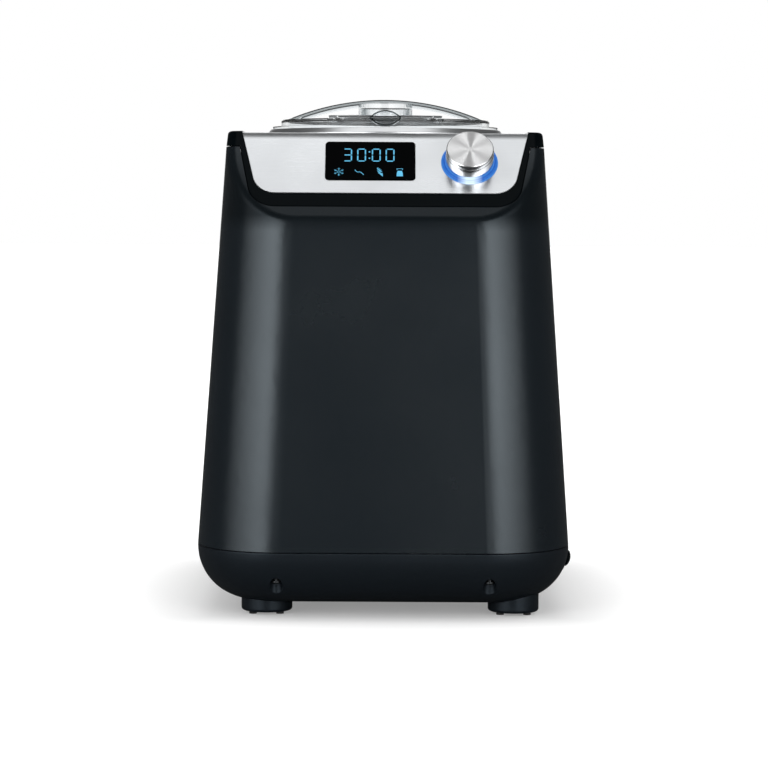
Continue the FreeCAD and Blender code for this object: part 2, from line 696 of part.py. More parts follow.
def collar_ring():
    """The polished ring that stands on the deck and carries the lid."""
    r_in, r_out, top = COLLAR_R_IN, COLLAR_R_OUT, COLLAR_TOP_Z
    ring = turned([
        (r_in, POT_TOP_Z), (r_in + COLLAR_SEAT, POT_TOP_Z), (r_in + COLLAR_SEAT, DECK_Z), (r_out, DECK_Z),
        (r_out, DECK_Z + 1.2), (r_out - 2.4, top), (r_in, top),
    ], 0, BOWL_Y)
    edges = [e for e in ring.Edges if e.BoundBox.ZLength < 0.01 and e.BoundBox.ZMin > DECK_Z + 1.0]
    return ring.makeFillet(0.6, edges)


# ---------------------------------------------------------------- control panel
def display_window():
    glass = window_prism(0.0, -SHEET, 0.7)
    front = [e for e in glass.Edges if abs((e.CenterOfMass - on_slope(0, 0, 0.7)).dot(SLOPE_NORMAL)) < 0.01]
    return glass.makeFillet(0.4, front)


def display_board():
    """The board behind the window with its display block, four ribbon pads and spacers."""
    low, high = WINDOW_LOW + 3.0, WINDOW_HIGH - 3.0
    half = WINDOW_HALF_W - 3.0
    board = slope_box(WINDOW_X - half, WINDOW_X + half, low, high, -7.6, -6.0)
    block = slope_box(WINDOW_X - 27, WINDOW_X + 27, low + 2, high - 2, -6.0, -3.6)
    socket = slope_box(WINDOW_X - 10, WINDOW_X + 10, low + 3, low + 9, -12.0, -7.6)
    places = [WINDOW_X - 8.4 + 2.4 * k for k in range(8)]
    pins = [slope_box(x, x + 0.8, low + 5, low + 7, -14, -12) for x in places]
    return fused([board, block, socket] + pins)


def knob_light_ring():
    """The glowing ring under the knob."""
    ring = slope_rod(RING_R, KNOB_X, KNOB_UP, 0, RING_HEIGHT)
    rim = [e for e in ring.Edges if (e.CenterOfMass - on_slope(KNOB_X, KNOB_UP, RING_HEIGHT)).Length < 0.01]
    return ring.makeFillet(RING_HEIGHT - 0.4, rim).cut(slope_rod(6.0, KNOB_X, KNOB_UP, -1, 5))


def control_knob():
    knob = slope_rod(KNOB_R, KNOB_X, KNOB_UP, KNOB_BACK, KNOB_FACE)
    rim = [e for e in knob.Edges if (e.CenterOfMass - on_slope(KNOB_X, KNOB_UP, KNOB_FACE)).Length < 0.01]
    knob = knob.makeChamfer(0.6, rim)
    hollow_ring = slope_rod(KNOB_R - 1.8, KNOB_X, KNOB_UP, KNOB_BACK - 1, KNOB_FACE - 3)
    hollow_ring = hollow_ring.cut(slope_rod(5.2, KNOB_X, KNOB_UP, KNOB_BACK - 2, KNOB_FACE))
    bore = slope_rod(3.0, KNOB_X, KNOB_UP, KNOB_BACK - 1, KNOB_FACE - 3.5)
    dish = slope_rod(KNOB_R - 2.6, KNOB_X, KNOB_UP, KNOB_FACE - 0.3, KNOB_FACE + 1)
    return knob.cut([hollow_ring, bore, dish])


def encoder_plunger():
    return slope_rod(3.0 - FIT, KNOB_X, KNOB_UP, -12.0, KNOB_FACE - 3.8)


def encoder_body():
    case = slope_box(KNOB_X - 7, KNOB_X + 7, KNOB_UP - 7, KNOB_UP + 7, -14.5, -4.5)
    bushing = slope_rod(4.5, KNOB_X, KNOB_UP, -4.5, -0.5)
    legs = [slope_box(KNOB_X - 5.3 + 5 * k, KNOB_X - 4.7 + 5 * k, KNOB_UP - 0.5, KNOB_UP + 0.5, -18, -14.5)
            for k in range(3)]
    bore = slope_rod(3.0, KNOB_X, KNOB_UP, -13.2, 2)
    return fused([case, bushing] + legs).cut(bore)


def power_switch():
    """The bezel, the button's dome and the switch behind it, each around the origin facing +X."""
    bezel = x_rod(BUTTON_BEZEL_R, -1.5, 1.4)
    bezel = bezel.makeFillet(0.9, [e for e in bezel.Edges if abs(e.CenterOfMass.x - 1.4) < 0.01])
    bezel = bezel.fuse(x_rod(BUTTON_BEZEL_R - 1.6, -8, -1.5)).cut(x_rod(BUTTON_R + 0.3, -20, 3))
    dome = Part.makeSphere(9.0, Vector(-4.2, 0, 0)).common(x_rod(BUTTON_R, -3, 8))
    button = fused([x_rod(BUTTON_R, -3, 0.5).fuse(dome), x_rod(2.0, -7.8, -3)])
    case = box(-26, -12.5, -8, 8, -8, 8).fuse([x_tube(BUTTON_BEZEL_R - 1.7, 5.8, -12.5, -8)])
    blades = [box(-33, -26, y - 0.4, y + 0.4, -2.5, 2.5) for y in (-4, 4)]
    case = fused([case] + blades).cut(x_rod(2.3, -14, 0))
    return button_frame(bezel), button_frame(button), button_frame(case)


def cable_gland():
    """A round bushing through the back wall with a bore for the mains cord."""
    wall_y = HALF_D * scale_at(GLAND_Z)
    flange = Part.makeCylinder(GLAND_R + 3.0, 1.8, Vector(GLAND_X, wall_y + 0.9, GLAND_Z), Y_AXIS)
    neck = Part.makeCylinder(GLAND_R - 0.1, 10.5, Vector(GLAND_X, wall_y - 9.0, GLAND_Z), Y_AXIS)
    tail = Part.makeCone(GLAND_R - 0.5, CORD_R + 1.6, 3.0, Vector(GLAND_X, wall_y + 1.6, GLAND_Z), Y_AXIS)
    bore = Part.makeCylinder(CORD_R, 60, Vector(GLAND_X, wall_y - 30, GLAND_Z), Y_AXIS)
    return fused([flange, neck, tail]).cut(bore)


# ---------------------------------------------------------------- lid
def lid_body():
    """The clear lid: flange on the collar, skirt inside it, raised top with the refill opening."""
    skirt_out = LID_SKIRT_R
    top = LID_TOP_Z
    under = top - LID_SKIN
    lid = turned([
        (0, under), (skirt_out - LID_SKIN, under),
        (skirt_out - LID_SKIN, LID_SKIRT_Z), (skirt_out, LID_SKIRT_Z),
        (skirt_out, COLLAR_TOP_Z), (LID_FLANGE_R, COLLAR_TOP_Z), (LID_FLANGE_R, COLLAR_TOP_Z + LID_SKIN),
        (LID_WALL_R, COLLAR_TOP_Z + LID_SKIN), (LID_WALL_R, top - 0.7), (LID_WALL_R - 0.7, top), (0, top),
    ], 0, BOWL_Y)
    front, back = BOWL_Y - 66.0, FLAP_HINGE_Y - 5.0
    opening = prism(rounded_outline(FLAP_HALF_W - 6.0, front, back, 18.0, 4.0, under - 2), 8)
    step = tube(LID_WALL_R + 20, FLAP_WALL_R - LID_GAP, COLLAR_TOP_Z + LID_SKIN, top + 5, 0, BOWL_Y)
    step = step.common(box(-FLAP_HALF_W - LID_GAP, FLAP_HALF_W + LID_GAP, -100, 0, 0, 400))
    rib = box(-EAR_X[1], EAR_X[1], FLAP_HINGE_Y - 4.0, FLAP_HINGE_Y + 4.0, under - 2.0, under + 0.5)
    groove = x_rod(KNUCKLE_R + 0.3, -EAR_X[0] + 0.1, EAR_X[0] - 0.1, FLAP_HINGE_Y, FLAP_HINGE_Z)
    lens = thumb_lens(LID_GAP, BOWL_Y - 100, THUMB_BACK_Y + 5)
    lid = lid.cut([opening, step, lens]).fuse(rib).cut(groove)
    pin_hole = x_rod(FLAP_PIN_R, -EAR_X[1] - 1, EAR_X[1] + 1, FLAP_HINGE_Y, FLAP_HINGE_Z)
    return fused([lid] + hinge_ears()).cut(pin_hole)


def hinge_ears():
    """Two round ears on the lid that hold the ends of the flap's pin."""
    ears = []
    for side in (-1, 1):
        x0, x1 = sorted((side * EAR_X[0], side * EAR_X[1]))
        round_part = x_rod(KNUCKLE_R, x0, x1, FLAP_HINGE_Y, FLAP_HINGE_Z)
        ears.append(round_part)
    return ears


def flap_hinge_pin():
    return x_rod(FLAP_PIN_R, -EAR_X[1], EAR_X[1], FLAP_HINGE_Y, FLAP_HINGE_Z)


def thumb_lens(grow, y0, y1):
    """The eye-shaped prism of the thumb scoop, along Y."""
    r = THUMB_R + grow
    upper = Part.makeCylinder(r, y1 - y0, Vector(0, y0, THUMB_Z - THUMB_OFFSET), Y_AXIS)
    lower = Part.makeCylinder(r, y1 - y0, Vector(0, y0, THUMB_Z + THUMB_OFFSET), Y_AXIS)
    return upper.common(lower)


def refill_flap():
    """The hatch at the lid's front: a plate, a front wall and an eye-shaped thumb scoop."""
    bottom, top = LID_TOP_Z + 0.3, LID_TOP_Z + 2.0
    front_y = BOWL_Y - LID_WALL_R
    plate = box(-FLAP_HALF_W, FLAP_HALF_W, BOWL_Y - 90, FLAP_HINGE_Y, bottom, top)
    plate = plate.common(rod(LID_WALL_R, bottom, top, 0, BOWL_Y))
    wall = tube(LID_WALL_R, FLAP_WALL_R, COLLAR_TOP_Z + LID_SKIN + LID_GAP, top, 0, BOWL_Y)
    wall = wall.common(box(-FLAP_HALF_W, FLAP_HALF_W, -100, 0, 0, 400))
    notches = []
    for side in (-1, 1):
        x0, x1 = sorted((side * (EAR_X[0] - 0.4), side * (EAR_X[1] + 0.6)))
        notches.append(box(x0, x1, FLAP_HINGE_Y - KNUCKLE_R - 0.6, FLAP_HINGE_Y + 5, bottom - 1, top + 1))
    knuckle = x_rod(KNUCKLE_R, -KNUCKLE_HALF, KNUCKLE_HALF, FLAP_HINGE_Y, FLAP_HINGE_Z)
    bore = x_rod(FLAP_PIN_R + FIT, -KNUCKLE_HALF - 1, KNUCKLE_HALF + 1, FLAP_HINGE_Y, FLAP_HINGE_Z)
    scoop = thumb_lens(0.0, front_y + 0.6, THUMB_BACK_Y)
    room = thumb_lens(-1.6, front_y - 5, THUMB_BACK_Y - 1.6)
    return fused([plate, wall, knuckle, scoop]).cut(notches + [bore, room])


def lid_handle():
    """The bow over the lid with its round middle hub."""
    centre_z = LID_APEX_Z - HANDLE_R

    def shell_of(r_in, y0, y1):
        outer = Part.makeCylinder(HANDLE_R, y1 - y0, Vector(0, y0, centre_z), Y_AXIS)
        inner = Part.makeCylinder(r_in, y1 - y0 + 2, Vector(0, y0 - 1, centre_z), Y_AXIS)
        return outer.cut(inner)

    y0, y1 = BOWL_Y - HANDLE_HALF_DEPTH, BOWL_Y + HANDLE_HALF_DEPTH
    strip = shell_of(HANDLE_R - 2.0, y0, y1)
    lips = [shell_of(HANDLE_R - 4.5, y0, y0 + 2.0), shell_of(HANDLE_R - 4.5, y1 - 2.0, y1)]
    span = box(-HANDLE_HALF_SPAN - 2, HANDLE_HALF_SPAN + 2, y0 - 40, y1 + 40, LID_TOP_Z, 400)
    bow = fused([strip] + lips).common(span)
    dome = Part.makeCylinder(HANDLE_R - 2.0, 80, Vector(0, BOWL_Y - 40, centre_z), Y_AXIS)
    hub = rod(HUB_R, LID_TOP_Z, 400, 0, BOWL_Y).cut(rod(HUB_R - 2.0, LID_TOP_Z + 2, 400, 0, BOWL_Y))
    cap = rod(HUB_R, LID_TOP_Z + 9, 400, 0, BOWL_Y)
    return fused([bow, hub.common(dome), cap.common(dome)])


def lid_seal():
    """The soft ring around the lid's skirt."""
    r = LID_SKIRT_R
    return turned([(r, 338.0), (r + 1.9, 338.6), (r + 1.9, 339.4), (r, 340.0)], 0, BOWL_Y)


# ---------------------------------------------------------------- bowl and paddle
def ice_bowl():
    r, w, rim, floor = BOWL_R, BOWL_WALL, BOWL_RIM_Z, BOWL_FLOOR_Z
    t = BOWL_TUBE_R
    bowl = turned([
        (t, floor), (r - 4, floor), (r, floor + 4), (r, rim - 2.4),
        (r + 2, rim - 2.4), (r + 2, rim), (r - w, rim),
        (r - w, floor + w + 3.4), (r - w - 3.4, floor + w), (t + w, floor + w), (t + w, BOWL_TUBE_TOP_Z),
        (t, BOWL_TUBE_TOP_Z),
    ], 0, BOWL_Y)
    lip = [e for e in bowl.Edges if at_height(e, rim)]
    return bowl.makeFillet(0.5, lip)


def mixing_paddle():
    """The paddle: a sleeve over the bowl's centre tube, a socket for the drive dog and two blades."""
    sleeve = rod(SLEEVE_R_OUT, PADDLE_LOW_Z, PADDLE_TOP_Z, 0, BOWL_Y)
    crown = [e for e in sleeve.Edges if at_height(e, PADDLE_TOP_Z)]
    sleeve = sleeve.makeFillet(3.0, crown)
    blades = [paddle_blade(side) for side in (-1, 1)]
    paddle = fused([sleeve] + blades)
    bore = rod(SLEEVE_R_IN, PADDLE_LOW_Z - 1, BOWL_TUBE_TOP_Z + 0.6, 0, BOWL_Y)
    socket = hexagon(HEX_AF + 0.5, BOWL_TUBE_TOP_Z, HEX_TOP_Z + 0.5, 0, BOWL_Y)
    return paddle.cut([bore, socket])


def paddle_blade(side):
    """One blade: a frame with a raked outer bar and a low sweeping bar."""
    half = BLADE_T / 2.0
    outline = box(SLEEVE_R_OUT - 1.5, BLADE_REACH, -half, half, PADDLE_LOW_Z, BLADE_TOP_Z)
    ends = [e for e in outline.Edges if abs(e.CenterOfMass.x - BLADE_REACH) < 0.01]
    corners = [e for e in ends if e.BoundBox.YLength > 3]
    outline = outline.makeFillet(7.0, corners)
    windows = []
    for z0, z1 in ((PADDLE_LOW_Z + 16, 250.0), (260.0, BLADE_TOP_Z - 10)):
        pane = box(SLEEVE_R_OUT + 9, BLADE_REACH - 13, -5, 5, z0, z1)
        windows.append(pane.makeFillet(5.0, [e for e in pane.Edges if e.BoundBox.YLength > 9]))
    blade = outline.cut(windows)
    scraper = box(BLADE_REACH - 5, BLADE_REACH, -half, half, PADDLE_LOW_Z + 8, BLADE_TOP_Z - 8)
    scraper = scraper.rotated(Vector(BLADE_REACH - 2.5, 0, 0), Z_AXIS, 35)
    scraper = scraper.common(rod(BLADE_REACH, 0, 400))
    blade = blade.fuse(scraper)
    if side < 0:
        blade = blade.rotated(Vector(0, 0, 0), Z_AXIS, 180)
    return blade.translated(Vector(0, BOWL_Y, 0))


# ---------------------------------------------------------------- freezing chamber
def evaporator_pot():
    r, w = POT_R, POT_WALL
    flange = COLLAR_R_IN + COLLAR_SEAT
    return turned([
        (BOSS_R_IN, INSULATION_Z), (BOSS_R_OUT, INSULATION_Z),
        (BOSS_R_OUT, POT_FLOOR_Z - w), (r + w, POT_FLOOR_Z - w),
        (r + w, POT_TOP_Z - w), (flange, POT_TOP_Z - w), (flange, POT_TOP_Z),
        (r, POT_TOP_Z), (r, POT_FLOOR_Z),
        (BOSS_R_OUT, POT_FLOOR_Z), (BOSS_R_OUT, BOSS_TOP_Z), (BOSS_R_IN, BOSS_TOP_Z),
    ], 0, BOWL_Y)


def evaporator_coil():
    """The cold pipe round the chamber: level turns, each joined to the next by a short riser."""
    turns = int((COIL_TO_Z - COIL_FROM_Z) / COIL_PITCH) + 1
    pipes = []
    for k in range(turns):
        z = COIL_FROM_Z + COIL_PITCH * k
        section = [polar(COIL_PIPE_R, math.radians(30.0 * n), COIL_R, 0, 0) for n in range(12)]
        pipes.append(turned([(point.x, z + point.y) for point in section], 0, BOWL_Y))
        if k:
            a = math.radians(70.0 + 40.0 * (k % 2))
            riser_x, riser_y = COIL_R * math.cos(a), BOWL_Y + COIL_R * math.sin(a)
            pipes.append(rod(COIL_PIPE_R - 0.4, z - COIL_PITCH, z, riser_x, riser_y))
    return fused(pipes)


def insulation_jacket():
    return tube(JACKET_R_OUT, JACKET_R_IN, INSULATION_Z + INSULATION_H, POT_TOP_Z - 3, 0, BOWL_Y)


def insulation_base():
    base = rod(JACKET_R_OUT, INSULATION_Z, INSULATION_Z + INSULATION_H, 0, BOWL_Y)
    return base.cut(rod(BOSS_R_OUT + 0.3, INSULATION_Z - 1, INSULATION_Z + 12, 0, BOWL_Y))


def chamber_support():
    """A bent sheet bridge that stands on the chassis plate and carries the chamber and the gearbox."""
    y0, y1 = SUPPORT_Y
    tray_top = TRAY_Z + SUPPORT_T
    top = box(-SUPPORT_X, SUPPORT_X, y0, y1, TRAY_Z, tray_top)
    pad = tube(30.0, 14.0, tray_top, INSULATION_Z, 0, BOWL_Y)
    corners = [polar(80.0, math.radians(a), 0, BOWL_Y, 0) for a in (45, 135, 225, 315)]
    pads = [rod(7.0, tray_top, INSULATION_Z, corner.x, corner.y) for corner in corners]
    sides = []
    for side in (-1, 1):
        x0, x1 = sorted((side * SUPPORT_X, side * (SUPPORT_X - SUPPORT_T)))
        wall = box(x0, x1, y0, y1, CHASSIS_TOP_Z, TRAY_Z)
        window = box(x0 - 1, x1 + 1, y0 + 12, 20, 46, 160)
        low_window = box(x0 - 1, x1 + 1, 36, y1 - 14, 60, 160)
        x2, x3 = sorted((side * SUPPORT_X, side * (SUPPORT_X - 20.0)))
        flange = box(x2, x3, y0, y1, CHASSIS_TOP_Z, CHASSIS_TOP_Z + SUPPORT_T)
        sides += [wall.cut([window, low_window]), flange]
    holes = [rod(15.0, TRAY_Z - 1, TRAY_Z + 3, 0, BOWL_Y)]
    return fused([top, pad] + pads + sides).cut(holes)


# ---------------------------------------------------------------- drive train
def gear(teeth, z0, z1, x, y, addendum, phase_deg, bore_r):
    """An involute spur gear with its first tooth at phase_deg."""
    pitch_r = MODULE * teeth / 2.0
    base_r = pitch_r * math.cos(math.radians(PRESSURE_DEG))
    tip_r = pitch_r + addendum
    root_r = pitch_r - 1.25 * MODULE
    pressure = math.radians(PRESSURE_DEG)
    flank_start = max(base_r, root_r)
    half_at_pitch = (math.pi * MODULE / 2.0 - BACKLASH) / 2.0 / pitch_r + math.tan(pressure) - pressure

    def half_angle(r):
        a = math.acos(min(1.0, base_r / r))
        return half_at_pitch - (math.tan(a) - a)

    radii = [flank_start + (tip_r - flank_start) * k / 5.0 for k in range(6)]
    profile = [(root_r, half_angle(flank_start))] + [(r, half_angle(r)) for r in radii]
    points = []
    for k in range(teeth):
        middle = math.radians(phase_deg) + 2.0 * math.pi * k / teeth
        points += [polar(r, middle - a, x, y, z0) for r, a in profile]
        points += [polar(r, middle + a, x, y, z0) for r, a in reversed(profile)]
    outline = Part.makePolygon(points + points[:1])
    return Part.Face(outline).extrude(Vector(0, 0, z1 - z0)).cut(rod(bore_r, z0 - 1, z1 + 1, x, y))


def polar(r, angle, x, y, z):
    return Vector(x + r * math.cos(angle), y + r * math.sin(angle), z)


def output_gear():
    z0, z1 = OUTPUT_GEAR_Z
    wheel = gear(WHEEL_TEETH, z0, z1, 0, BOWL_Y, WHEEL_ADDENDUM, 0.0, SHAFT_R)
    recess = tube(20.0, 8.0, z1 - 1.6, z1 + 1, 0, BOWL_Y)
    return wheel.cut(recess)


def idler_gear():
    """A wheel and a pinion in one piece."""
    x, y = IDLER_AT
    bore = IDLER_PIN_R + FIT
    wheel = gear(WHEEL_TEETH, *IDLER_WHEEL_Z, x, y, WHEEL_ADDENDUM, 0.0, bore)
    pinion = gear(PINION_TEETH, IDLER_WHEEL_Z[1], IDLER_TOP_Z, x, y, PINION_ADDENDUM, PINION_PHASE_DEG, bore)
    return fused([wheel, pinion])


def motor_pinion():
    """The motor's pinion with its shaft."""
    x, y = MOTOR_AT
    pinion = gear(PINION_TEETH, *MOTOR_PINION_Z, x, y, PINION_ADDENDUM, PINION_PHASE_DEG, MOTOR_SHAFT_R / 2.0)
    return fused([pinion, rod(MOTOR_SHAFT_R, MOTOR_Z[0] + 6, MOTOR_PINION_Z[1], x, y)])


def idler_pin():
    return rod(IDLER_PIN_R, GEARBOX_FLOOR_Z, GEARBOX_COVER_Z, *IDLER_AT)


def gearbox_outline(grow, z0, z1):
    reach = WHEEL_TEETH * MODULE / 2.0 + 2.5 + grow
    rods = [rod(reach, z0, z1, 0, BOWL_Y), rod(reach, z0, z1, *IDLER_AT), rod(9.0 + grow, z0, z1, *MOTOR_AT)]
    return fused(rods)


def gearbox_housing():
    floor = GEARBOX_FLOOR_Z
    hollow = gearbox_outline(0, floor + 2, GEARBOX_COVER_Z + 1)
    housing = gearbox_outline(2.5, floor, GEARBOX_COVER_Z).cut(hollow)
    collar = tube(8.0, SHAFT_R + FIT, floor, floor + 4, 0, BOWL_Y)
    housing = housing.fuse(collar)
    holes = [rod(IDLER_PIN_R, floor - 1, floor + 3, *IDLER_AT), rod(5.0, floor - 1, floor + 3, *MOTOR_AT)]
    return housing.cut(holes)


def gearbox_cover():
    cover = gearbox_outline(2.5, GEARBOX_COVER_Z, TRAY_Z)
    return cover.cut(rod(SHAFT_R + 1.0, 150, 200, 0, BOWL_Y))


def drive_shaft():
    """The upright shaft with its hexagonal dog."""
    shaft = rod(SHAFT_R, SHAFT_FOOT_Z, HEX_FROM_Z, 0, BOWL_Y)
    return shaft.fuse(hexagon(HEX_AF, HEX_FROM_Z, HEX_TOP_Z, 0, BOWL_Y))


def upper_bearing():
    return tube(BOSS_R_IN, SHAFT_R + FIT, 206.0, 218.0, 0, BOWL_Y)


def shaft_seal():
    return tube(BOSS_R_IN, SHAFT_R + FIT, BOSS_TOP_Z - 7, BOSS_TOP_Z - 1, 0, BOWL_Y)


def motor_can():
    x, y = MOTOR_AT
    z0, z1 = MOTOR_Z
    can = rod(MOTOR_R, z0, z1, x, y)
    can = can.makeFillet(3.0, [e for e in can.Edges if at_height(e, z0)])
    tabs = [box(x - 8 + 12 * k, x - 4 + 12 * k, y + 6, y + 7, z0 - 7, z0 + 1) for k in range(2)]
    return fused([can] + tabs).cut(rod(MOTOR_SHAFT_R + 0.3, z0 + 4, z1 + 1, x, y))


# ---------------------------------------------------------------- refrigeration
def compressor_shell():
    """The welded can with its seam flange, terminal cover, pipe stubs and base bracket."""
    x, y = COMPRESSOR_AT
    z0, z1 = COMPRESSOR_Z
    can = rod(COMPRESSOR_R, z0, z1, x, y)
    can = can.makeFillet(22.0, [e for e in can.Edges if at_height(e, z0) or at_height(e, z1)])
    seam = rod(COMPRESSOR_R + 1.6, 96.0, 101.0, x, y)
    cover = box(x - 18, x + 18, y + 44, y + 62, 64, 92)
    bracket = box(x - 50, x + 50, y - 50, y + 50, z0, z0 + 2.5)
    upright = [e for e in bracket.Edges if e.BoundBox.ZLength > 2 and e.BoundBox.XLength < 0.1]
    bracket = bracket.makeFillet(8.0, upright)
    holes = [rod(4.2, z0 - 1, z0 + 4, px, py) for px, py in mount_places()]
    stub = rod(3.2, z1 - 6, z1 + 8, x + 24, y)
    return fused([can, seam, cover, bracket, stub]).cut(holes)


def mount_places():
    """The axes of the compressor's four rubber bushes."""
    x, y = COMPRESSOR_AT
    return [(x + sx * COMPRESSOR_MOUNT, y + sy * COMPRESSOR_MOUNT) for sx in (-1, 1) for sy in (-1, 1)]


def compressor_mounts():
    """Four rubber bushes that carry the compressor's bracket."""
    z0 = COMPRESSOR_Z[0]
    bushes = []
    for x, y in mount_places():
        bushes.append(fused([rod(7.5, CHASSIS_TOP_Z, z0, x, y), rod(4.1, z0 - 1, z0 + 3.5, x, y)]))
    return Part.makeCompound(bushes)


def condenser():
    """Fins across two rows of pipe."""
    x0, x1 = CONDENSER_X
    y0, y1 = CONDENSER_Y
    z0, z1 = CONDENSER_Z
    places = [y0 + FIN_PITCH * k for k in range(int((y1 - y0) / FIN_PITCH) + 1)]
    fins = [box(x0, x1, y, y + FIN_T, z0, z1) for y in places]
    pipes = []
    for k in range(5):
        z = z0 + 9 + 20 * k
        pipes.append(Part.makeCylinder(3.0, y1 - y0 + 6, Vector((x0 + x1) / 2, y0 - 3, z), Y_AXIS))
    feet = [box(x0, x1, y, y + 1.6, CHASSIS_TOP_Z + SUPPORT_T, z0 + 3) for y in (y0 + 4.0, y0 + 76.0)]
    return fused(fins + pipes + feet)


def fan_frame():
    """The fan's square frame with its spokes, motor cup and axle hole."""
    y, z = FAN_AT
    x0, x1 = FAN_X
    frame = box(x0, x1, y - FAN_HALF, y + FAN_HALF, z - FAN_HALF, z + FAN_HALF)
    frame = frame.makeFillet(5.0, [e for e in frame.Edges if e.BoundBox.XLength > x1 - x0 - 0.1])
    frame = frame.cut(x_rod(FAN_HALF - 2.5, x0 - 1, x1 + 1, y, z))
    spokes = []
    for k in range(4):
        spoke = box(x1 - 2.5, x1, y + 8, y + FAN_HALF - 1.5, z - 1.6, z + 1.6)
        spokes.append(spoke.rotated(Vector(0, y, z), X_AXIS, 45 + 90 * k))
    cup = x_rod(FAN_HUB_R + 1.0, x1 - 2.5, x1, y, z).fuse(x_rod(FAN_AXLE_R, x0 + 4, x1, y, z))
    feet = [box(x0 + 4, x1 - 4, y + side * 30 - 5, y + side * 30 + 5, CHASSIS_TOP_Z, z - FAN_HALF + 1)
            for side in (-1, 1)]
    return fused([frame, cup] + spokes + feet)


def fan_rotor():
    """The hub and its seven blades."""
    y, z = FAN_AT
    x0, x1 = FAN_X
    hub = x_rod(FAN_HUB_R, x0 + 2, x1 - 4, y, z)
    hub = hub.makeFillet(2.0, [e for e in hub.Edges if abs(e.CenterOfMass.x - x0 - 2) < 0.01])
    blades = []
    for k in range(FAN_BLADES):
        blade = box(x0 + 4, x1 - 6, y - 1.0, y + 1.0, z + 12, z + FAN_HALF - 4.5)
        blade = blade.rotated(Vector((x0 + x1) / 2 - 1, y, z), Z_AXIS, 38)
        blades.append(blade.rotated(Vector(0, y, z), X_AXIS, 360.0 / FAN_BLADES * k))
    return fused([hub] + blades).cut(x_rod(FAN_AXLE_R + FIT, x0 + 3.5, x1, y, z))


def filter_drier():
    x, y = DRIER_AT
    return turned([(0, 60), (3.0, 60), (9.0, 70), (9.0, 140), (3.0, 150), (0, 150)], x, y)


def refrigerant_pipes():
    """Hot line to the condenser, liquid line to the drier, capillary to the coil and cold line back."""
    cx, cy = COMPRESSOR_AT
    x_mid = (CONDENSER_X[0] + CONDENSER_X[1]) / 2
    low, high = CONDENSER_Z[0] + 9, CONDENSER_Z[0] + 89
    front = CONDENSER_Y[0] - 3.3
    back = CONDENSER_Y[1] + 3.3
    dx, dy = DRIER_AT
    stub_top = COMPRESSOR_Z[1] + 8.2
    hot = pipe_route([
        Vector(cx + 24, cy, stub_top), Vector(cx + 24, cy, stub_top + 14),
        Vector(cx + 24, front - 12, stub_top + 14), Vector(x_mid, front - 12, stub_top + 14),
        Vector(x_mid, front - 12, high), Vector(x_mid, front, high)], 2.6)
    liquid = pipe_route([
        Vector(x_mid, back, low), Vector(x_mid, back + 16, low),
        Vector(dx, dy, low), Vector(dx, dy, 59.8)], 2.2)
    cold = pipe_route([
        Vector(dx, dy, 150.2), Vector(dx, dy, 166), Vector(dx, dy + 16, 172),
        Vector(dx, dy + 34, 190), Vector(dx, dy + 34, 206)], 1.6)
    return Part.makeCompound([hot, liquid, cold])


# ---------------------------------------------------------------- chassis and electronics
def chassis_plate():
    plate = prism(rounded_outline(112.0, -132.0, 132.0, 40.0, 30.0, CHASSIS_Z), CHASSIS_TOP_Z - CHASSIS_Z)
    post_holes = [rod(SCREW_R, 20, 30, x, y) for x, y in CHASSIS_POSTS]
    well_room = [rod(WELL_R + 3.0, 20, 30, x, y) for x, y in WELLS]
    air = [box(-70 + 14 * k, -64 + 14 * k, 20, 80, 20, 30) for k in range(9)]
    return plate.cut(post_holes + well_room + air)


def power_board():
    """The mains board with its transformer, capacitors, relay, heat sink and plug sockets."""
    board = box(-92, -8, BOARD_Y, BOARD_Y + 1.6, 48, 138)
    front = BOARD_Y
    transformer = box(-86, -54, front - 24, front, 54, 82)
    relay = box(-46, -30, front - 14, front, 56, 76)
    capacitors = [Part.makeCylinder(6.5, 18, Vector(-22, front - 18, 58 + 17 * k), Y_AXIS) for k in range(2)]
    fins = [box(-84 + 5 * k, -82 + 5 * k, front - 16, front, 96, 128) for k in range(6)]
    sink = box(-84, -57, front - 3, front, 96, 128)
    sockets = [box(-46, -34, front - 9, front, 92 + 16 * k, 102 + 16 * k) for k in range(2)]
    edge_feet = [box(x, x + 6, BOARD_Y, BOARD_Y + 8, CHASSIS_TOP_Z, 54) for x in (-86, -16)]
    return fused([board, transformer, relay, sink] + capacitors + fins + sockets + edge_feet)


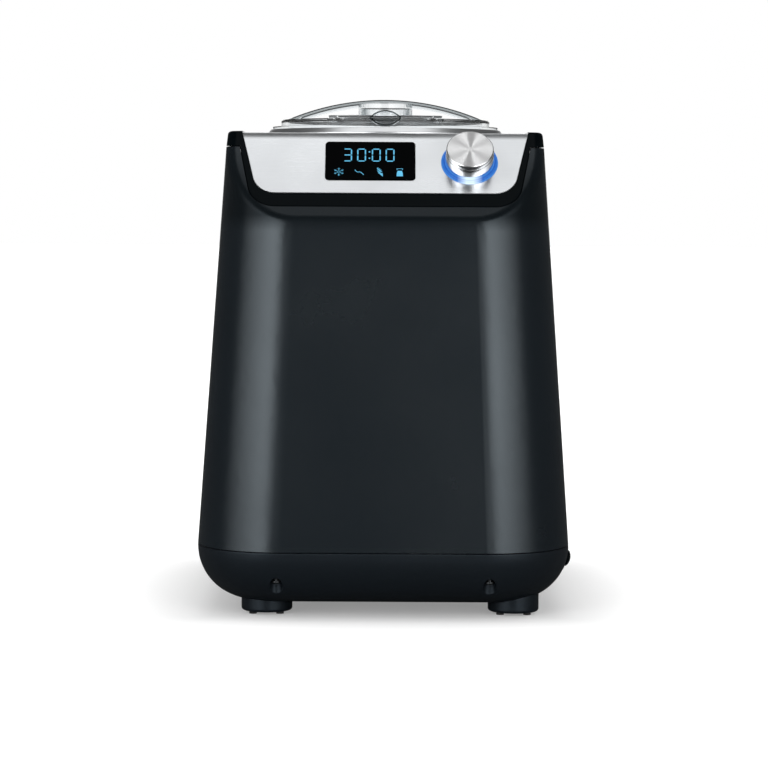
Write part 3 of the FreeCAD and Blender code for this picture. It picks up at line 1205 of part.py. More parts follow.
# ---------------------------------------------------------------- export
def all_parts():
    """Every piece by its name."""
    wall = skin()
    base = base_solid()
    bezel, button, switch_body = power_switch()
    parts = {
        "outer_shell": outer_shell(wall), "rear_cover": rear_cover(wall),
        "vent_grille_left": vent_grille(wall, -1), "vent_grille_right": vent_grille(wall, 1),
        "base_pan": base_pan(), "bottom_plate": bottom_plate(), "case_screws": case_screws(),
        "cable_gland": cable_gland(), "top_frame": top_frame(), "top_panel": top_panel(),
        "collar_ring": collar_ring(), "display_window": display_window(), "display_board": display_board(),
        "knob_light_ring": knob_light_ring(), "control_knob": control_knob(),
        "encoder_plunger": encoder_plunger(), "encoder_body": encoder_body(),
        "power_switch_bezel": bezel, "power_button": button, "power_switch_body": switch_body,
        "lid_body": lid_body(), "lid_handle": lid_handle(), "lid_seal": lid_seal(),
        "refill_flap": refill_flap(), "flap_hinge_pin": flap_hinge_pin(),
        "ice_bowl": ice_bowl(), "mixing_paddle": mixing_paddle(),
        "evaporator_pot": evaporator_pot(), "evaporator_coil": evaporator_coil(),
        "insulation_jacket": insulation_jacket(), "insulation_base": insulation_base(),
        "chamber_support": chamber_support(), "drive_shaft": drive_shaft(), "upper_bearing": upper_bearing(),
        "shaft_seal": shaft_seal(), "gearbox_housing": gearbox_housing(), "gearbox_cover": gearbox_cover(),
        "output_gear": output_gear(), "idler_gear": idler_gear(), "idler_pin": idler_pin(),
        "motor_can": motor_can(), "motor_pinion": motor_pinion(),
        "compressor_shell": compressor_shell(), "compressor_mounts": compressor_mounts(),
        "condenser": condenser(), "fan_frame": fan_frame(), "fan_rotor": fan_rotor(),
        "filter_drier": filter_drier(), "refrigerant_pipes": refrigerant_pipes(),
        "chassis_plate": chassis_plate(), "power_board": power_board(),
    }
    for name, (x, y) in FEET.items():
        parts["foot_" + name] = foot(x, y, base)
        parts["foot_pad_" + name] = foot_pad(x, y)
    return parts


def main():
    os.makedirs(OUT, exist_ok=True)
    for name, shape in all_parts().items():
        shape.exportStep(OUT + "/" + name + ".step")


if __name__ == "__main__":
    main()
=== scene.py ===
"""The look of an upright compressor ice cream maker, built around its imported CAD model.

Metres, +Z up, the control panel faces -Y. The CAD nodes keep their shapes and get procedural materials.
The knob and its light ring are modelled again here in finer form and stand for their CAD nodes. The lit
display marks and the rim of the flap's thumb scoop are added.
"""

import json
import math

import bpy
from mathutils import Matrix, Vector


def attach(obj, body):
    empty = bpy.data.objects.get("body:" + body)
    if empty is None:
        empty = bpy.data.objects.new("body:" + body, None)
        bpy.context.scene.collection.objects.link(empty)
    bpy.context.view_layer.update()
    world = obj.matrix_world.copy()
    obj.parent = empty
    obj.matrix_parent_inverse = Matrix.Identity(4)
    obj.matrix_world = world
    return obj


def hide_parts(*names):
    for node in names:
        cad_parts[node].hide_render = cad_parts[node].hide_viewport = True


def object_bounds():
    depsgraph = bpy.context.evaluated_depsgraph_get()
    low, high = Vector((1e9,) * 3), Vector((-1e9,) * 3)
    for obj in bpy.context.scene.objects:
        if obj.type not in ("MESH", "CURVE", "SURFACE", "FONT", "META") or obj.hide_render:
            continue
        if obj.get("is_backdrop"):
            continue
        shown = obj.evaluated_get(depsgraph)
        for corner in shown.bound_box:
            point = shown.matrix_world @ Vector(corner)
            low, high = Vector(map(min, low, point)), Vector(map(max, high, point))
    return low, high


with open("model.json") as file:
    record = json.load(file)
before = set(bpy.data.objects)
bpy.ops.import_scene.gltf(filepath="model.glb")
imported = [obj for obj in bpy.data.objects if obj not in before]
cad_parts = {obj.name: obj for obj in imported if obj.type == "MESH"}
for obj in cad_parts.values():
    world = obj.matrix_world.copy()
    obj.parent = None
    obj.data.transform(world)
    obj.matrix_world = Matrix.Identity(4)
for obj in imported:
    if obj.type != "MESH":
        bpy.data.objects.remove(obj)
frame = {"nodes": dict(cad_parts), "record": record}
CAD_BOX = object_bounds()
NODES = frame["nodes"]
MM = 0.001
WHITE = (1, 1, 1, 1)

# ---------------------------------------------------------------- places taken from the frame
JOINTS = {joint["name"]: joint for joint in frame["record"]["behaviour"]["joints"]}
SLOPE_NORMAL = Vector(JOINTS["knob_turn"]["axis"]).normalized()
ACROSS = Vector((1, 0, 0))
SLOPE_UP = SLOPE_NORMAL.cross(ACROSS)
if SLOPE_UP.z < 0:
    SLOPE_UP.negate()
KNOB_POINT = Vector(JOINTS["knob_turn"]["pos_m"])


def support(node, direction):
    """The furthest that a CAD node reaches along a direction."""
    return max(vertex.co.dot(direction) for vertex in NODES[node].data.vertices)


def reach(node, direction):
    """The lowest and highest that a CAD node reaches along a direction."""
    return -support(node, -direction), support(node, direction)


PANEL_FACE = support("top_panel", SLOPE_NORMAL)
RING_FACE = support("knob_light_ring", SLOPE_NORMAL)
KNOB_BACK, KNOB_FACE = reach("control_knob", SLOPE_NORMAL)
GLASS_FACE = support("display_window", SLOPE_NORMAL)
GLASS_X = reach("display_window", ACROSS)
GLASS_UP = reach("display_window", SLOPE_UP)


def on_slope(x, up, out):
    """The point at x across, up along the slope and out along its normal, each from the frame's origin."""
    return ACROSS * x + SLOPE_UP * up + SLOPE_NORMAL * out


def slope_matrix(x, up, out):
    """A placement whose local Z is the slope's normal and whose local Y runs up the slope."""
    turn = Matrix((ACROSS, SLOPE_UP, SLOPE_NORMAL)).transposed().to_4x4()
    return Matrix.Translation(on_slope(x, up, out)) @ turn


# ---------------------------------------------------------------- node helpers
def new_material(name):
    material = bpy.data.materials.new(name)
    material.use_nodes = True
    tree = material.node_tree
    tree.nodes.clear()
    output = tree.nodes.new("ShaderNodeOutputMaterial")
    shader = tree.nodes.new("ShaderNodeBsdfPrincipled")
    tree.links.new(shader.outputs["BSDF"], output.inputs["Surface"])
    return material, tree, shader


def node(tree, kind, values=None, **settings):
    """Adds a node, sets its properties and fills its sockets by name or number."""
    made = tree.nodes.new("ShaderNode" + kind)
    for key, value in settings.items():
        setattr(made, key, value)
    for key, value in (values or {}).items():
        fill(tree, made.inputs[key], value)
    return made


def fill(tree, socket, value):
    """Links an output to the socket, or sets its number or colour."""
    if isinstance(value, bpy.types.NodeSocket):
        tree.links.new(value, socket)
    else:
        socket.default_value = value


def grey(value):
    return (value, value, value, 1)


def scaled(colour, factor):
    """The opaque colour with its red, green and blue multiplied by a factor."""
    return tuple(channel * factor for channel in colour[:3]) + (1,)


def place(tree, scale=(1, 1, 1)):
    """Object coordinates, scaled."""
    coordinates = node(tree, "TexCoord")
    return node(tree, "Mapping", {"Vector": coordinates.outputs["Object"], "Scale": scale}).outputs[0]


def object_parts(tree):
    """The three object coordinates, each on its own."""
    return node(tree, "SeparateXYZ", {0: node(tree, "TexCoord").outputs["Object"]}).outputs


def noise(tree, scale, stretch=(1, 1, 1), detail=3.0, roughness=0.55):
    made = node(tree, "TexNoise", {"Vector": place(tree, stretch), "Scale": scale, "Detail": detail,
                                   "Roughness": roughness})
    return made.outputs["Fac"]


def ramp(tree, value, low, high, start=0.0, end=1.0):
    """Maps a value from one range to another and clamps it."""
    limits = {"Value": value, "From Min": start, "From Max": end, "To Min": low, "To Max": high}
    return node(tree, "MapRange", limits).outputs["Result"]


def mix_colour(tree, factor, first, second):
    made = node(tree, "Mix", {"Factor": factor}, data_type="RGBA")
    fill(tree, made.inputs[6], first)
    fill(tree, made.inputs[7], second)
    return made.outputs[2]


def maths(tree, operation, first, second):
    return node(tree, "Math", {0: first, 1: second}, operation=operation).outputs[0]


def turned_rings(tree, parts, pitch, detail):
    """Noise that changes only with the distance from the local Z axis, as rings cut on a lathe do."""
    flat = node(tree, "CombineXYZ", {0: parts[0], 1: parts[1], 2: 0.0})
    radius = node(tree, "VectorMath", {0: flat.outputs[0]}, operation="LENGTH").outputs["Value"]
    values = {"W": maths(tree, "DIVIDE", radius, pitch), "Scale": 1.0, "Detail": detail}
    return node(tree, "TexNoise", values, noise_dimensions="1D").outputs["Fac"]


def bump(tree, height, distance, strength, edge=0.0):
    """A bumped normal. Where edge is given, sharp edges are also rounded by that radius."""
    made = node(tree, "Bump", {"Height": height, "Distance": distance, "Strength": strength})
    if edge:
        fill(tree, made.inputs["Normal"], node(tree, "Bevel", {"Radius": edge}, samples=6).outputs[0])
    return made.outputs["Normal"]


# ---------------------------------------------------------------- materials
PLASTIC_IOR = 1.5
EDGE_RADIUS = 0.5 * MM
GLOSS_EDGE_RADIUS = 0.4 * MM
DUST = 0.12
DUST_GREY = 0.12
COAT_ROUGHNESS = 0.12
CLEAR_ROUGHNESS = 0.02
QUARTER_TURN = 0.25


def moulded_plastic(name, colour, roughness, grain, coat=0.0, gloss=WHITE):
    """Moulded plastic: a fine spark-eroded grain, faint gloss patches and a trace of dust."""
    material, tree, shader = new_material(name)
    fine = noise(tree, grain, detail=4.0)
    broad = noise(tree, 9.0, detail=5.0)
    tint = mix_colour(tree, ramp(tree, broad, 0.0, 1.0, 0.3, 0.7), colour, scaled(colour, 0.82))
    speck = ramp(tree, noise(tree, grain * 0.35, detail=6.0), 0.0, 1.0, 0.62, 0.8)
    tint = mix_colour(tree, maths(tree, "MULTIPLY", speck, DUST), tint, grey(DUST_GREY))
    fill(tree, shader.inputs["Base Color"], tint)
    fill(tree, shader.inputs["Roughness"], ramp(tree, broad, roughness - 0.03, roughness + 0.04, 0.3, 0.7))
    fill(tree, shader.inputs["Normal"], bump(tree, fine, 0.00004, 0.5, edge=EDGE_RADIUS))
    shader.inputs["IOR"].default_value = PLASTIC_IOR
    shader.inputs["Specular Tint"].default_value = gloss
    shader.inputs["Coat Weight"].default_value = coat
    shader.inputs["Coat Roughness"].default_value = COAT_ROUGHNESS
    return material


def gloss_plastic(name, colour, roughness, specular=0.5):
    """Glossy plastic with a very faint orange peel and fine hairlines in its gloss."""
    material, tree, shader = new_material(name)
    peel = noise(tree, 260.0, detail=2.0)
    hair = noise(tree, 40.0, (1, 1, 30), detail=6.0)
    fill(tree, shader.inputs["Base Color"], mix_colour(tree, peel, colour, scaled(colour, 1.25)))
    fill(tree, shader.inputs["Roughness"], ramp(tree, hair, roughness, roughness + 0.08, 0.45, 0.75))
    fill(tree, shader.inputs["Normal"], bump(tree, peel, 0.00002, 0.35, edge=GLOSS_EDGE_RADIUS))
    shader.inputs["IOR"].default_value = PLASTIC_IOR
    shader.inputs["Specular IOR Level"].default_value = specular
    return material


def brushed_sheet(name, colour):
    """Steel sheet brushed along X: long fine scratches, uneven gloss, faint finger marks."""
    material, tree, shader = new_material(name)
    fine = noise(tree, 1.0, (26.0, 5200.0, 5200.0), detail=5.0, roughness=0.7)
    coarse = noise(tree, 1.0, (7.0, 900.0, 900.0), detail=3.0)
    lines = maths(tree, "ADD", maths(tree, "MULTIPLY", fine, 0.7), maths(tree, "MULTIPLY", coarse, 0.3))
    marks = noise(tree, 16.0, detail=5.0)
    tone = ramp(tree, lines, 0.0, 1.0, 0.35, 0.65)
    fill(tree, shader.inputs["Base Color"], mix_colour(tree, tone, scaled(colour, 0.93), colour))
    plain = ramp(tree, lines, 0.26, 0.33, 0.3, 0.7)
    touched = ramp(tree, marks, -0.02, 0.05, 0.4, 0.75)
    fill(tree, shader.inputs["Roughness"], maths(tree, "ADD", plain, touched))
    fill(tree, shader.inputs["Normal"], bump(tree, lines, 0.00003, 0.35, edge=EDGE_RADIUS))
    shader.inputs["Metallic"].default_value = 1.0
    shader.inputs["Anisotropic"].default_value = 0.6
    shader.inputs["Anisotropic Rotation"].default_value = QUARTER_TURN
    across = node(tree, "VectorTransform", {0: (1, 0, 0)}, vector_type="VECTOR",
                  convert_from="OBJECT", convert_to="WORLD")
    fill(tree, shader.inputs["Tangent"], across.outputs[0])
    return material


def polished_metal(name, colour, roughness):
    """Polished metal with faint buffing lines."""
    material, tree, shader = new_material(name)
    buff = noise(tree, 1.0, (60, 60, 2600), detail=4.0)
    broad = noise(tree, 30.0, detail=4.0)
    fill(tree, shader.inputs["Base Color"], mix_colour(tree, broad, colour, scaled(colour, 0.93)))
    fill(tree, shader.inputs["Roughness"], ramp(tree, buff, roughness, roughness + 0.05, 0.3, 0.75))
    fill(tree, shader.inputs["Normal"], bump(tree, buff, 0.00001, 0.06))
    shader.inputs["Metallic"].default_value = 1.0
    return material


def spun_metal(name, colour, ring_pitch):
    """Metal faced on a lathe, for a piece whose local Z is its axis: fine rings fan the light out in wedges."""
    material, tree, shader = new_material(name)
    rings = turned_rings(tree, object_parts(tree), ring_pitch, 4.0)
    tone = ramp(tree, rings, 0.0, 1.0, 0.3, 0.7)
    fill(tree, shader.inputs["Base Color"], mix_colour(tree, tone, scaled(colour, 0.8), colour))
    fill(tree, shader.inputs["Roughness"], ramp(tree, rings, 0.36, 0.46, 0.3, 0.7))
    fill(tree, shader.inputs["Normal"], bump(tree, rings, 0.00002, 0.3))
    shader.inputs["Metallic"].default_value = 1.0
    shader.inputs["Anisotropic"].default_value = 1.0
    shader.inputs["Anisotropic Rotation"].default_value = QUARTER_TURN
    tangent = node(tree, "Tangent", direction_type="RADIAL", axis="Z")
    fill(tree, shader.inputs["Tangent"], tangent.outputs[0])
    return material


def clear_plastic(name, tint, ior):
    """Clear moulded plastic in a given tint, with faint flow marks and fine scratches."""
    material, tree, shader = new_material(name)
    flow = noise(tree, 22.0, detail=4.0)
    scratch = noise(tree, 30.0, (1, 26, 1), detail=7.0)
    fill(tree, shader.inputs["Base Color"], mix_colour(tree, flow, tint, scaled(tint, 0.96)))
    rough = ramp(tree, scratch, CLEAR_ROUGHNESS, CLEAR_ROUGHNESS + 0.07, 0.55, 0.8)
    fill(tree, shader.inputs["Roughness"], rough)
    fill(tree, shader.inputs["Normal"], bump(tree, flow, 0.0001, 0.15))
    shader.inputs["Transmission Weight"].default_value = 1.0
    shader.inputs["IOR"].default_value = ior
    return material


STREAK_PITCH = 0.8 * MM
# White of the painted highlight at the middle of the ring's lower edge.
PAINTED_HIGHLIGHT_WHITE = (1.25, 1.5, 1.6, 1)
RING_GLOW = 0.7


def lit_ring(name, deep, pale):
    """A lit ring whose local Z is its axis: blue streaks around it, and a painted white highlight at the lower
    edge's middle.
    """
    material, tree, shader = new_material(name)
    parts = object_parts(tree)
    streaks = turned_rings(tree, parts, STREAK_PITCH, 2.0)
    cells = noise(tree, 700.0, detail=3.0)
    light = maths(tree, "ADD", maths(tree, "MULTIPLY", streaks, 0.8), maths(tree, "MULTIPLY", cells, 0.2))
    blue = mix_colour(tree, ramp(tree, light, 0.0, 1.0, 0.42, 0.62), deep, pale)
    aside = maths(tree, "ABSOLUTE", parts[0], 0.0)
    # Painted highlight: white, near the middle of the lower edge and along its brighter streaks.
    highlight_across = ramp(tree, aside, 1.0, 0.0, 2.5 * MM, 9.0 * MM)
    lower = ramp(tree, parts[1], 1.0, 0.0, -14.0 * MM, -8.0 * MM)
    highlight_mask = maths(tree, "MULTIPLY", highlight_across, lower)
    painted_highlight = maths(tree, "MULTIPLY", highlight_mask, ramp(tree, streaks, 0.7, 1.0, 0.4, 0.6))
    colour = mix_colour(tree, painted_highlight, blue, PAINTED_HIGHLIGHT_WHITE)
    fill(tree, shader.inputs["Emission Color"], colour)
    shader.inputs["Emission Strength"].default_value = RING_GLOW
    shader.inputs["Base Color"].default_value = (0.005, 0.03, 0.12, 1)
    shader.inputs["Specular IOR Level"].default_value = 0.12
    shader.inputs["Roughness"].default_value = 0.15
    return material


def lit_mark(name, colour):
    """A lit display mark: nearly even light with broad and fine variation."""
    material, tree, shader = new_material(name)
    cells = noise(tree, 1400.0, detail=3.0)
    broad = noise(tree, 120.0, detail=2.0)
    fine, wide = [ramp(tree, pattern, 0.85, 1.1, 0.3, 0.7) for pattern in (cells, broad)]
    fill(tree, shader.inputs["Emission Strength"], maths(tree, "MULTIPLY", fine, wide))
    shader.inputs["Emission Color"].default_value = colour
    shader.inputs["Base Color"].default_value = (0.01, 0.03, 0.04, 1)
    shader.inputs["Roughness"].default_value = 0.4
    return material


def soft_rubber(name, colour, roughness=0.75):
    """Matt rubber with a fine pebble and a little bloom."""
    material, tree, shader = new_material(name)
    pebble = node(tree, "TexVoronoi", {"Vector": place(tree), "Scale": 1600.0}).outputs["Distance"]
    bloom = noise(tree, 60.0, detail=5.0)
    pale = tuple(min(1.0, c + 0.03) for c in colour[:3]) + (1,)
    tone = ramp(tree, bloom, 0.0, 1.0, 0.4, 0.8)
    fill(tree, shader.inputs["Base Color"], mix_colour(tree, tone, colour, pale))
    fill(tree, shader.inputs["Roughness"], ramp(tree, bloom, roughness - 0.1, roughness + 0.1, 0.3, 0.7))
    fill(tree, shader.inputs["Normal"], bump(tree, pebble, 0.00006, 0.4))
    return material


def metal_work(name, colour, roughness, scale=300.0):
    """Plain machined or coated metal of the inner pieces."""
    material, tree, shader = new_material(name)
    grain = noise(tree, scale, detail=5.0)
    cloud = noise(tree, 25.0, detail=4.0)
    tone = ramp(tree, cloud, 0.0, 1.0, 0.3, 0.7)
    fill(tree, shader.inputs["Base Color"], mix_colour(tree, tone, scaled(colour, 0.75), colour))
    fill(tree, shader.inputs["Roughness"], ramp(tree, grain, roughness - 0.06, roughness + 0.1, 0.3, 0.7))
    fill(tree, shader.inputs["Normal"], bump(tree, grain, 0.00005, 0.3))
    shader.inputs["Metallic"].default_value = 1.0
    return material


FOAM_DARK = (0.72, 0.62, 0.36, 1)
FOAM_PALE = (0.82, 0.74, 0.5, 1)
FOAM_PIT_SHADE = (0.45, 0.36, 0.2, 1)
BOARD_MASK = (0.01, 0.09, 0.035, 1)
BOARD_TRACK = (0.03, 0.2, 0.07, 1)


def foam_block(name):
    """Poured rigid foam: an open cell texture whose pits are painted darker, as painted shade in the cells."""
    material, tree, shader = new_material(name)
    cells = node(tree, "TexVoronoi", {"Vector": place(tree), "Scale": 420.0}).outputs["Distance"]
    skin = noise(tree, 30.0, detail=5.0)
    colour = mix_colour(tree, ramp(tree, skin, 0.0, 1.0, 0.3, 0.7), FOAM_DARK, FOAM_PALE)
    # Painted shade in the foam's cell pits.
    pits = ramp(tree, cells, 0.5, 0.0, 0.0, 0.3)
    fill(tree, shader.inputs["Base Color"], mix_colour(tree, pits, colour, FOAM_PIT_SHADE))
    fill(tree, shader.inputs["Normal"], bump(tree, cells, 0.0004, 0.6))
    shader.inputs["Roughness"].default_value = 0.9
    return material


def circuit_board(name):
    """Green solder mask, paler over faint tracks."""
    material, tree, shader = new_material(name)
    values = {"Vector": place(tree), "Scale": 90.0, "Mortar Size": 0.03}
    values.update({"Color1": grey(0.0), "Color2": grey(0.2), "Mortar": grey(1.0)})
    tracks = node(tree, "TexBrick", values).outputs["Color"]
    colour = mix_colour(tree, ramp(tree, tracks, 0.0, 0.6), BOARD_MASK, BOARD_TRACK)
    fill(tree, shader.inputs["Base Color"], colour)
    fill(tree, shader.inputs["Normal"], bump(tree, tracks, 0.00004, 0.5))
    shader.inputs["Roughness"].default_value = 0.35
    return material


BLACK = (0.0036, 0.0056, 0.0075, 1)
SHOULDER = (0.270, 0.281)
SHOULDER_FRONT = (-0.115, -0.06)
# Bluish tint of the shell's reflections: the cool colour of the studio light, painted into its gloss.
SHELL_COOL_LIGHT_GLOSS = (0.82, 0.93, 1.0, 1)
# Painted shade on the shell's front shoulder: a dimmed gloss tint and a darker black.
SHOULDER_SHADED_GLOSS = (0.2, 0.24, 0.27, 1)
SHOULDER_PAINTED_SHADE = (0.0024, 0.0036, 0.0045, 1)


def shell_plastic(name):
    """The shell's satin plastic. At the front, painted shade darkens its tone and dims its gloss towards the
    shoulder.
    """
    material = moulded_plastic(name, BLACK, 0.24, 2600.0, gloss=SHELL_COOL_LIGHT_GLOSS)
    tree = material.node_tree
    shader = tree.nodes["Principled BSDF"]
    parts = object_parts(tree)
    front = ramp(tree, parts[1], 1.0, 0.0, *SHOULDER_FRONT)
    # Mask of the painted shade: the front of the shell, over its shoulder band.
    fall = maths(tree, "MULTIPLY", ramp(tree, parts[2], 0.0, 1.0, *SHOULDER), front)
    fill(tree, shader.inputs["Specular Tint"], mix_colour(tree, fall, SHELL_COOL_LIGHT_GLOSS, SHOULDER_SHADED_GLOSS))
    plain = shader.inputs["Base Color"].links[0].from_socket
    fill(tree, shader.inputs["Base Color"], mix_colour(tree, fall, plain, SHOULDER_PAINTED_SHADE))
    return material


MATERIALS = {
    "shell_black": shell_plastic("shell_satin_black"),
    "frame_black": gloss_plastic("frame_gloss_black", (0.0009, 0.0016, 0.002, 1), 0.14, specular=0.02),
    "steel_brushed": brushed_sheet("panel_brushed_steel", (0.71, 0.73, 0.75, 1)),
    "steel_polished": polished_metal("collar_polished_steel", (0.72, 0.735, 0.75, 1), 0.3),
    "clear": clear_plastic("lid_clear", (0.93, 0.95, 0.96, 1), 1.3),
    "window": gloss_plastic("display_glass_black", (0.0003, 0.0004, 0.0005, 1), 0.03, specular=0.008),
    "rubber": soft_rubber("rubber_black", (0.012, 0.012, 0.013, 1)),
    "silicone": soft_rubber("silicone_pale", (0.55, 0.57, 0.58, 1), 0.45),
    "pin_steel": metal_work("pin_ground_steel", (0.58, 0.59, 0.6, 1), 0.28),
    "bowl_alu": polished_metal("bowl_spun_aluminium", (0.84, 0.85, 0.86, 1), 0.3),
    "paddle_plastic": moulded_plastic("paddle_white_plastic", (0.72, 0.74, 0.75, 1), 0.38, 1800.0),
    "sheet_zinc": metal_work("sheet_zinc_coated", (0.5, 0.52, 0.54, 1), 0.4, 120.0),
    "copper": metal_work("copper_drawn", (0.62, 0.3, 0.17, 1), 0.3),
    "foam": foam_block("foam_poured"),
    "gear_plastic": moulded_plastic("gear_acetal", (0.72, 0.68, 0.56, 1), 0.42, 2200.0),
    "compressor_black": moulded_plastic("compressor_enamel", (0.015, 0.015, 0.017, 1), 0.28, 500.0, coat=0.4),
    "board_green": circuit_board("board_green_mask"),
    "internal_black": moulded_plastic("internal_black_plastic", (0.02, 0.02, 0.022, 1), 0.5, 1500.0),
    "bearing_bronze": metal_work("bearing_sintered_bronze", (0.5, 0.34, 0.15, 1), 0.45, 900.0),
    "knob": spun_metal("knob_spun_aluminium", (0.93, 0.935, 0.94, 1), 0.00012),
    "light_blue": lit_ring("ring_blue_light", (0.008, 0.08, 0.5, 1), (0.09, 0.34, 0.8, 1)),
}
# The base pan and feet get a darker copy of the shell's black: painted shade under the body. Its bluish gloss
# tint is the cool studio light's colour, painted into the reflections.
BASE_SHADED_BLACK = moulded_plastic("base_black_painted_shade", (0.0028, 0.0042, 0.0058, 1), 0.36, 2600.0,
                             gloss=(0.7, 0.85, 1.0, 1))
KNOB_WALL = polished_metal("knob_polished_wall", (0.84, 0.85, 0.86, 1), 0.2)
MARK_BLUE = lit_mark("display_mark_blue", (0.09, 0.5, 0.8, 1))


HUB_REACH = 19.5 * MM
SKIN_DEEP = 2.4 * MM
SKIN_SHALLOW = 1.9 * MM
CLEAR_TINT = (0.9, 0.92, 0.93, 1)
# Grey of the painted shade on the clear handle.
PAINTED_SHADE_GREY = (0.36, 0.39, 0.4, 1)


def handle_arc():
    """The centre height and radius of the handle's bow, from its highest point and its outer ends."""
    corners = [vertex.co for vertex in NODES["lid_handle"].data.vertices]
    apex = max(corner.z for corner in corners)
    reach_x = max(corner.x for corner in corners)
    end = max(corner.z for corner in corners if corner.x > reach_x - 0.05 * MM)
    drop = apex - end
    radius = (reach_x ** 2 + drop ** 2) / (2.0 * drop)
    return apex - radius, radius


def handle_plastic(name):
    """The handle's clear plastic, with painted shade: darker along the bow's outer skin and in dark streaks
    near both ends of its hub.
    """
    material = clear_plastic(name, CLEAR_TINT, 1.45)
    tree = material.node_tree
    shader = tree.nodes["Principled BSDF"]
    centre, radius = handle_arc()
    parts = object_parts(tree)
    aside = maths(tree, "ABSOLUTE", parts[0], 0.0)
    rise = maths(tree, "SUBTRACT", parts[2], centre)
    squares = maths(tree, "ADD", maths(tree, "MULTIPLY", aside, aside), maths(tree, "MULTIPLY", rise, rise))
    # Painted shade: the clear bow darkens towards its outer skin.
    skin = ramp(tree, maths(tree, "SQRT", squares, 0.0), 0.0, 1.0, radius - SKIN_DEEP, radius - SKIN_SHALLOW)
    streaks = noise(tree, 1.0, (900.0, 900.0, 60.0), detail=2.0)
    ends = ramp(tree, aside, 0.0, 1.0, 0.62 * HUB_REACH, 0.8 * HUB_REACH)
    inside = ramp(tree, aside, 1.0, 0.0, HUB_REACH, HUB_REACH + 0.5 * MM)
    hub_ends = maths(tree, "MULTIPLY", ends, inside)
    shade = maths(tree, "MULTIPLY", hub_ends, ramp(tree, streaks, 0.0, 1.0, 0.45, 0.55))
    plain = shader.inputs["Base Color"].links[0].from_socket
    tint = mix_colour(tree, maths(tree, "MAXIMUM", skin, shade), plain, PAINTED_SHADE_GREY)
    fill(tree, shader.inputs["Base Color"], tint)
    return material


SCREW_BLACK = metal_work("screw_blackened", (0.09, 0.095, 0.1, 1), 0.35)
HANDLE_CLEAR = handle_plastic("handle_clear")
# A dark clear plastic: painted shade for the outline of the flap's thumb scoop.
THUMB_RIM_SHADE = clear_plastic("thumb_rim_painted_shade", (0.16, 0.18, 0.19, 1), 1.3)
BASE_NODES = ("base_pan", "foot_front_left", "foot_front_right", "foot_rear_left", "foot_rear_right")


OWN_MATERIALS = {name: BASE_SHADED_BLACK for name in BASE_NODES}
OWN_MATERIALS["case_screws"] = SCREW_BLACK
OWN_MATERIALS["lid_handle"] = HANDLE_CLEAR


def paint_cad_nodes():
    """Gives every CAD node a material: its own where one is set here, else that of its record slot."""
    slots = {part["node"]: part["material_slot"] for part in frame["record"]["subparts"]}
    for name, obj in NODES.items():
        obj.data.materials.clear()
        obj.data.materials.append(OWN_MATERIALS.get(name, MATERIALS[slots[name]]))


paint_cad_nodes()


# ---------------------------------------------------------------- pieces modelled here
SHARP_EDGE_DEG = 28.0
LATHE_SEGMENTS = 144


def add_piece(name, vertices, faces, material, body, slot, placement=None, smooth=True):
    """Makes a mesh piece that rides on a body."""
    mesh = bpy.data.meshes.new(name)
    mesh.from_pydata(vertices, [], faces)
    mesh.materials.append(material)
    obj = bpy.data.objects.new(name, mesh)
    if placement is not None:
        obj.matrix_world = placement
    bpy.context.scene.collection.objects.link(obj)
    if smooth:
        mesh.polygons.foreach_set("use_smooth", [True] * len(mesh.polygons))
        mesh.set_sharp_from_angle(angle=math.radians(SHARP_EDGE_DEG))
    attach(obj, body)
    return obj


def lathe(profile):
    """Vertices and faces of a closed (radius, height) outline turned about Z."""
    vertices, faces = [], []
    count = len(profile)
    for k in range(LATHE_SEGMENTS):
        a = 2.0 * math.pi * k / LATHE_SEGMENTS
        vertices += [(r * math.cos(a), r * math.sin(a), h) for r, h in profile]
    for k in range(LATHE_SEGMENTS):
        this, after = k * count, (k + 1) % LATHE_SEGMENTS * count
        for j in range(count):
            n = (j + 1) % count
            faces.append((this + n, after + n, after + j, this + j))
    return vertices, faces


SHAFT_HOLE_R = 3.1 * MM
SHAFT_HOLE_TOP = 3.6 * MM
AXIS_GAP = 0.02 * MM
SKIRT_SHARE = 0.74
FACE_RINGS = 8
SKIRT_WALL = 1.8 * MM
HOLLOW_TOP = 3.0 * MM
BOSS_R = 5.2 * MM


def knob_outline():
    """The knob's section: a faced top with a bright bevel, an upper wall and a slightly wider skirt."""
    r, back, face = KNOB_R, KNOB_BACK - PANEL_FACE, KNOB_FACE - PANEL_FACE
    step = SKIRT_SHARE * face
    points = [(SHAFT_HOLE_R, back), (SHAFT_HOLE_R, face - SHAFT_HOLE_TOP), (AXIS_GAP, face - SHAFT_HOLE_TOP),
              (AXIS_GAP, face)]
    points += [(r * k / FACE_RINGS, face) for k in range(1, FACE_RINGS)]
    points += [(r - 0.95 * MM, face), (r - 0.85 * MM, face - 0.04 * MM), (r - 0.36 * MM, face - 0.5 * MM),
               (r - 0.3 * MM, face - 0.65 * MM)]
    points += [(r - 0.26 * MM, step + 0.25 * MM), (r - 0.22 * MM, step + 0.08 * MM), (r - 0.05 * MM, step),
               (r, step - 0.12 * MM)]
    points += [(r, back + 0.5 * MM), (r - 0.25 * MM, back + 0.12 * MM), (r - 0.6 * MM, back)]
    points += [(r - SKIRT_WALL, back), (r - SKIRT_WALL, face - HOLLOW_TOP), (BOSS_R, face - HOLLOW_TOP),
               (BOSS_R, back)]
    return points


RING_HOLE_R = 6.1 * MM
RING_SINK = 0.3 * MM
RING_EDGE = 0.25 * MM
RIDGES = 3
RIDGE_DEPTH = 0.09 * MM
RING_STEPS = 18


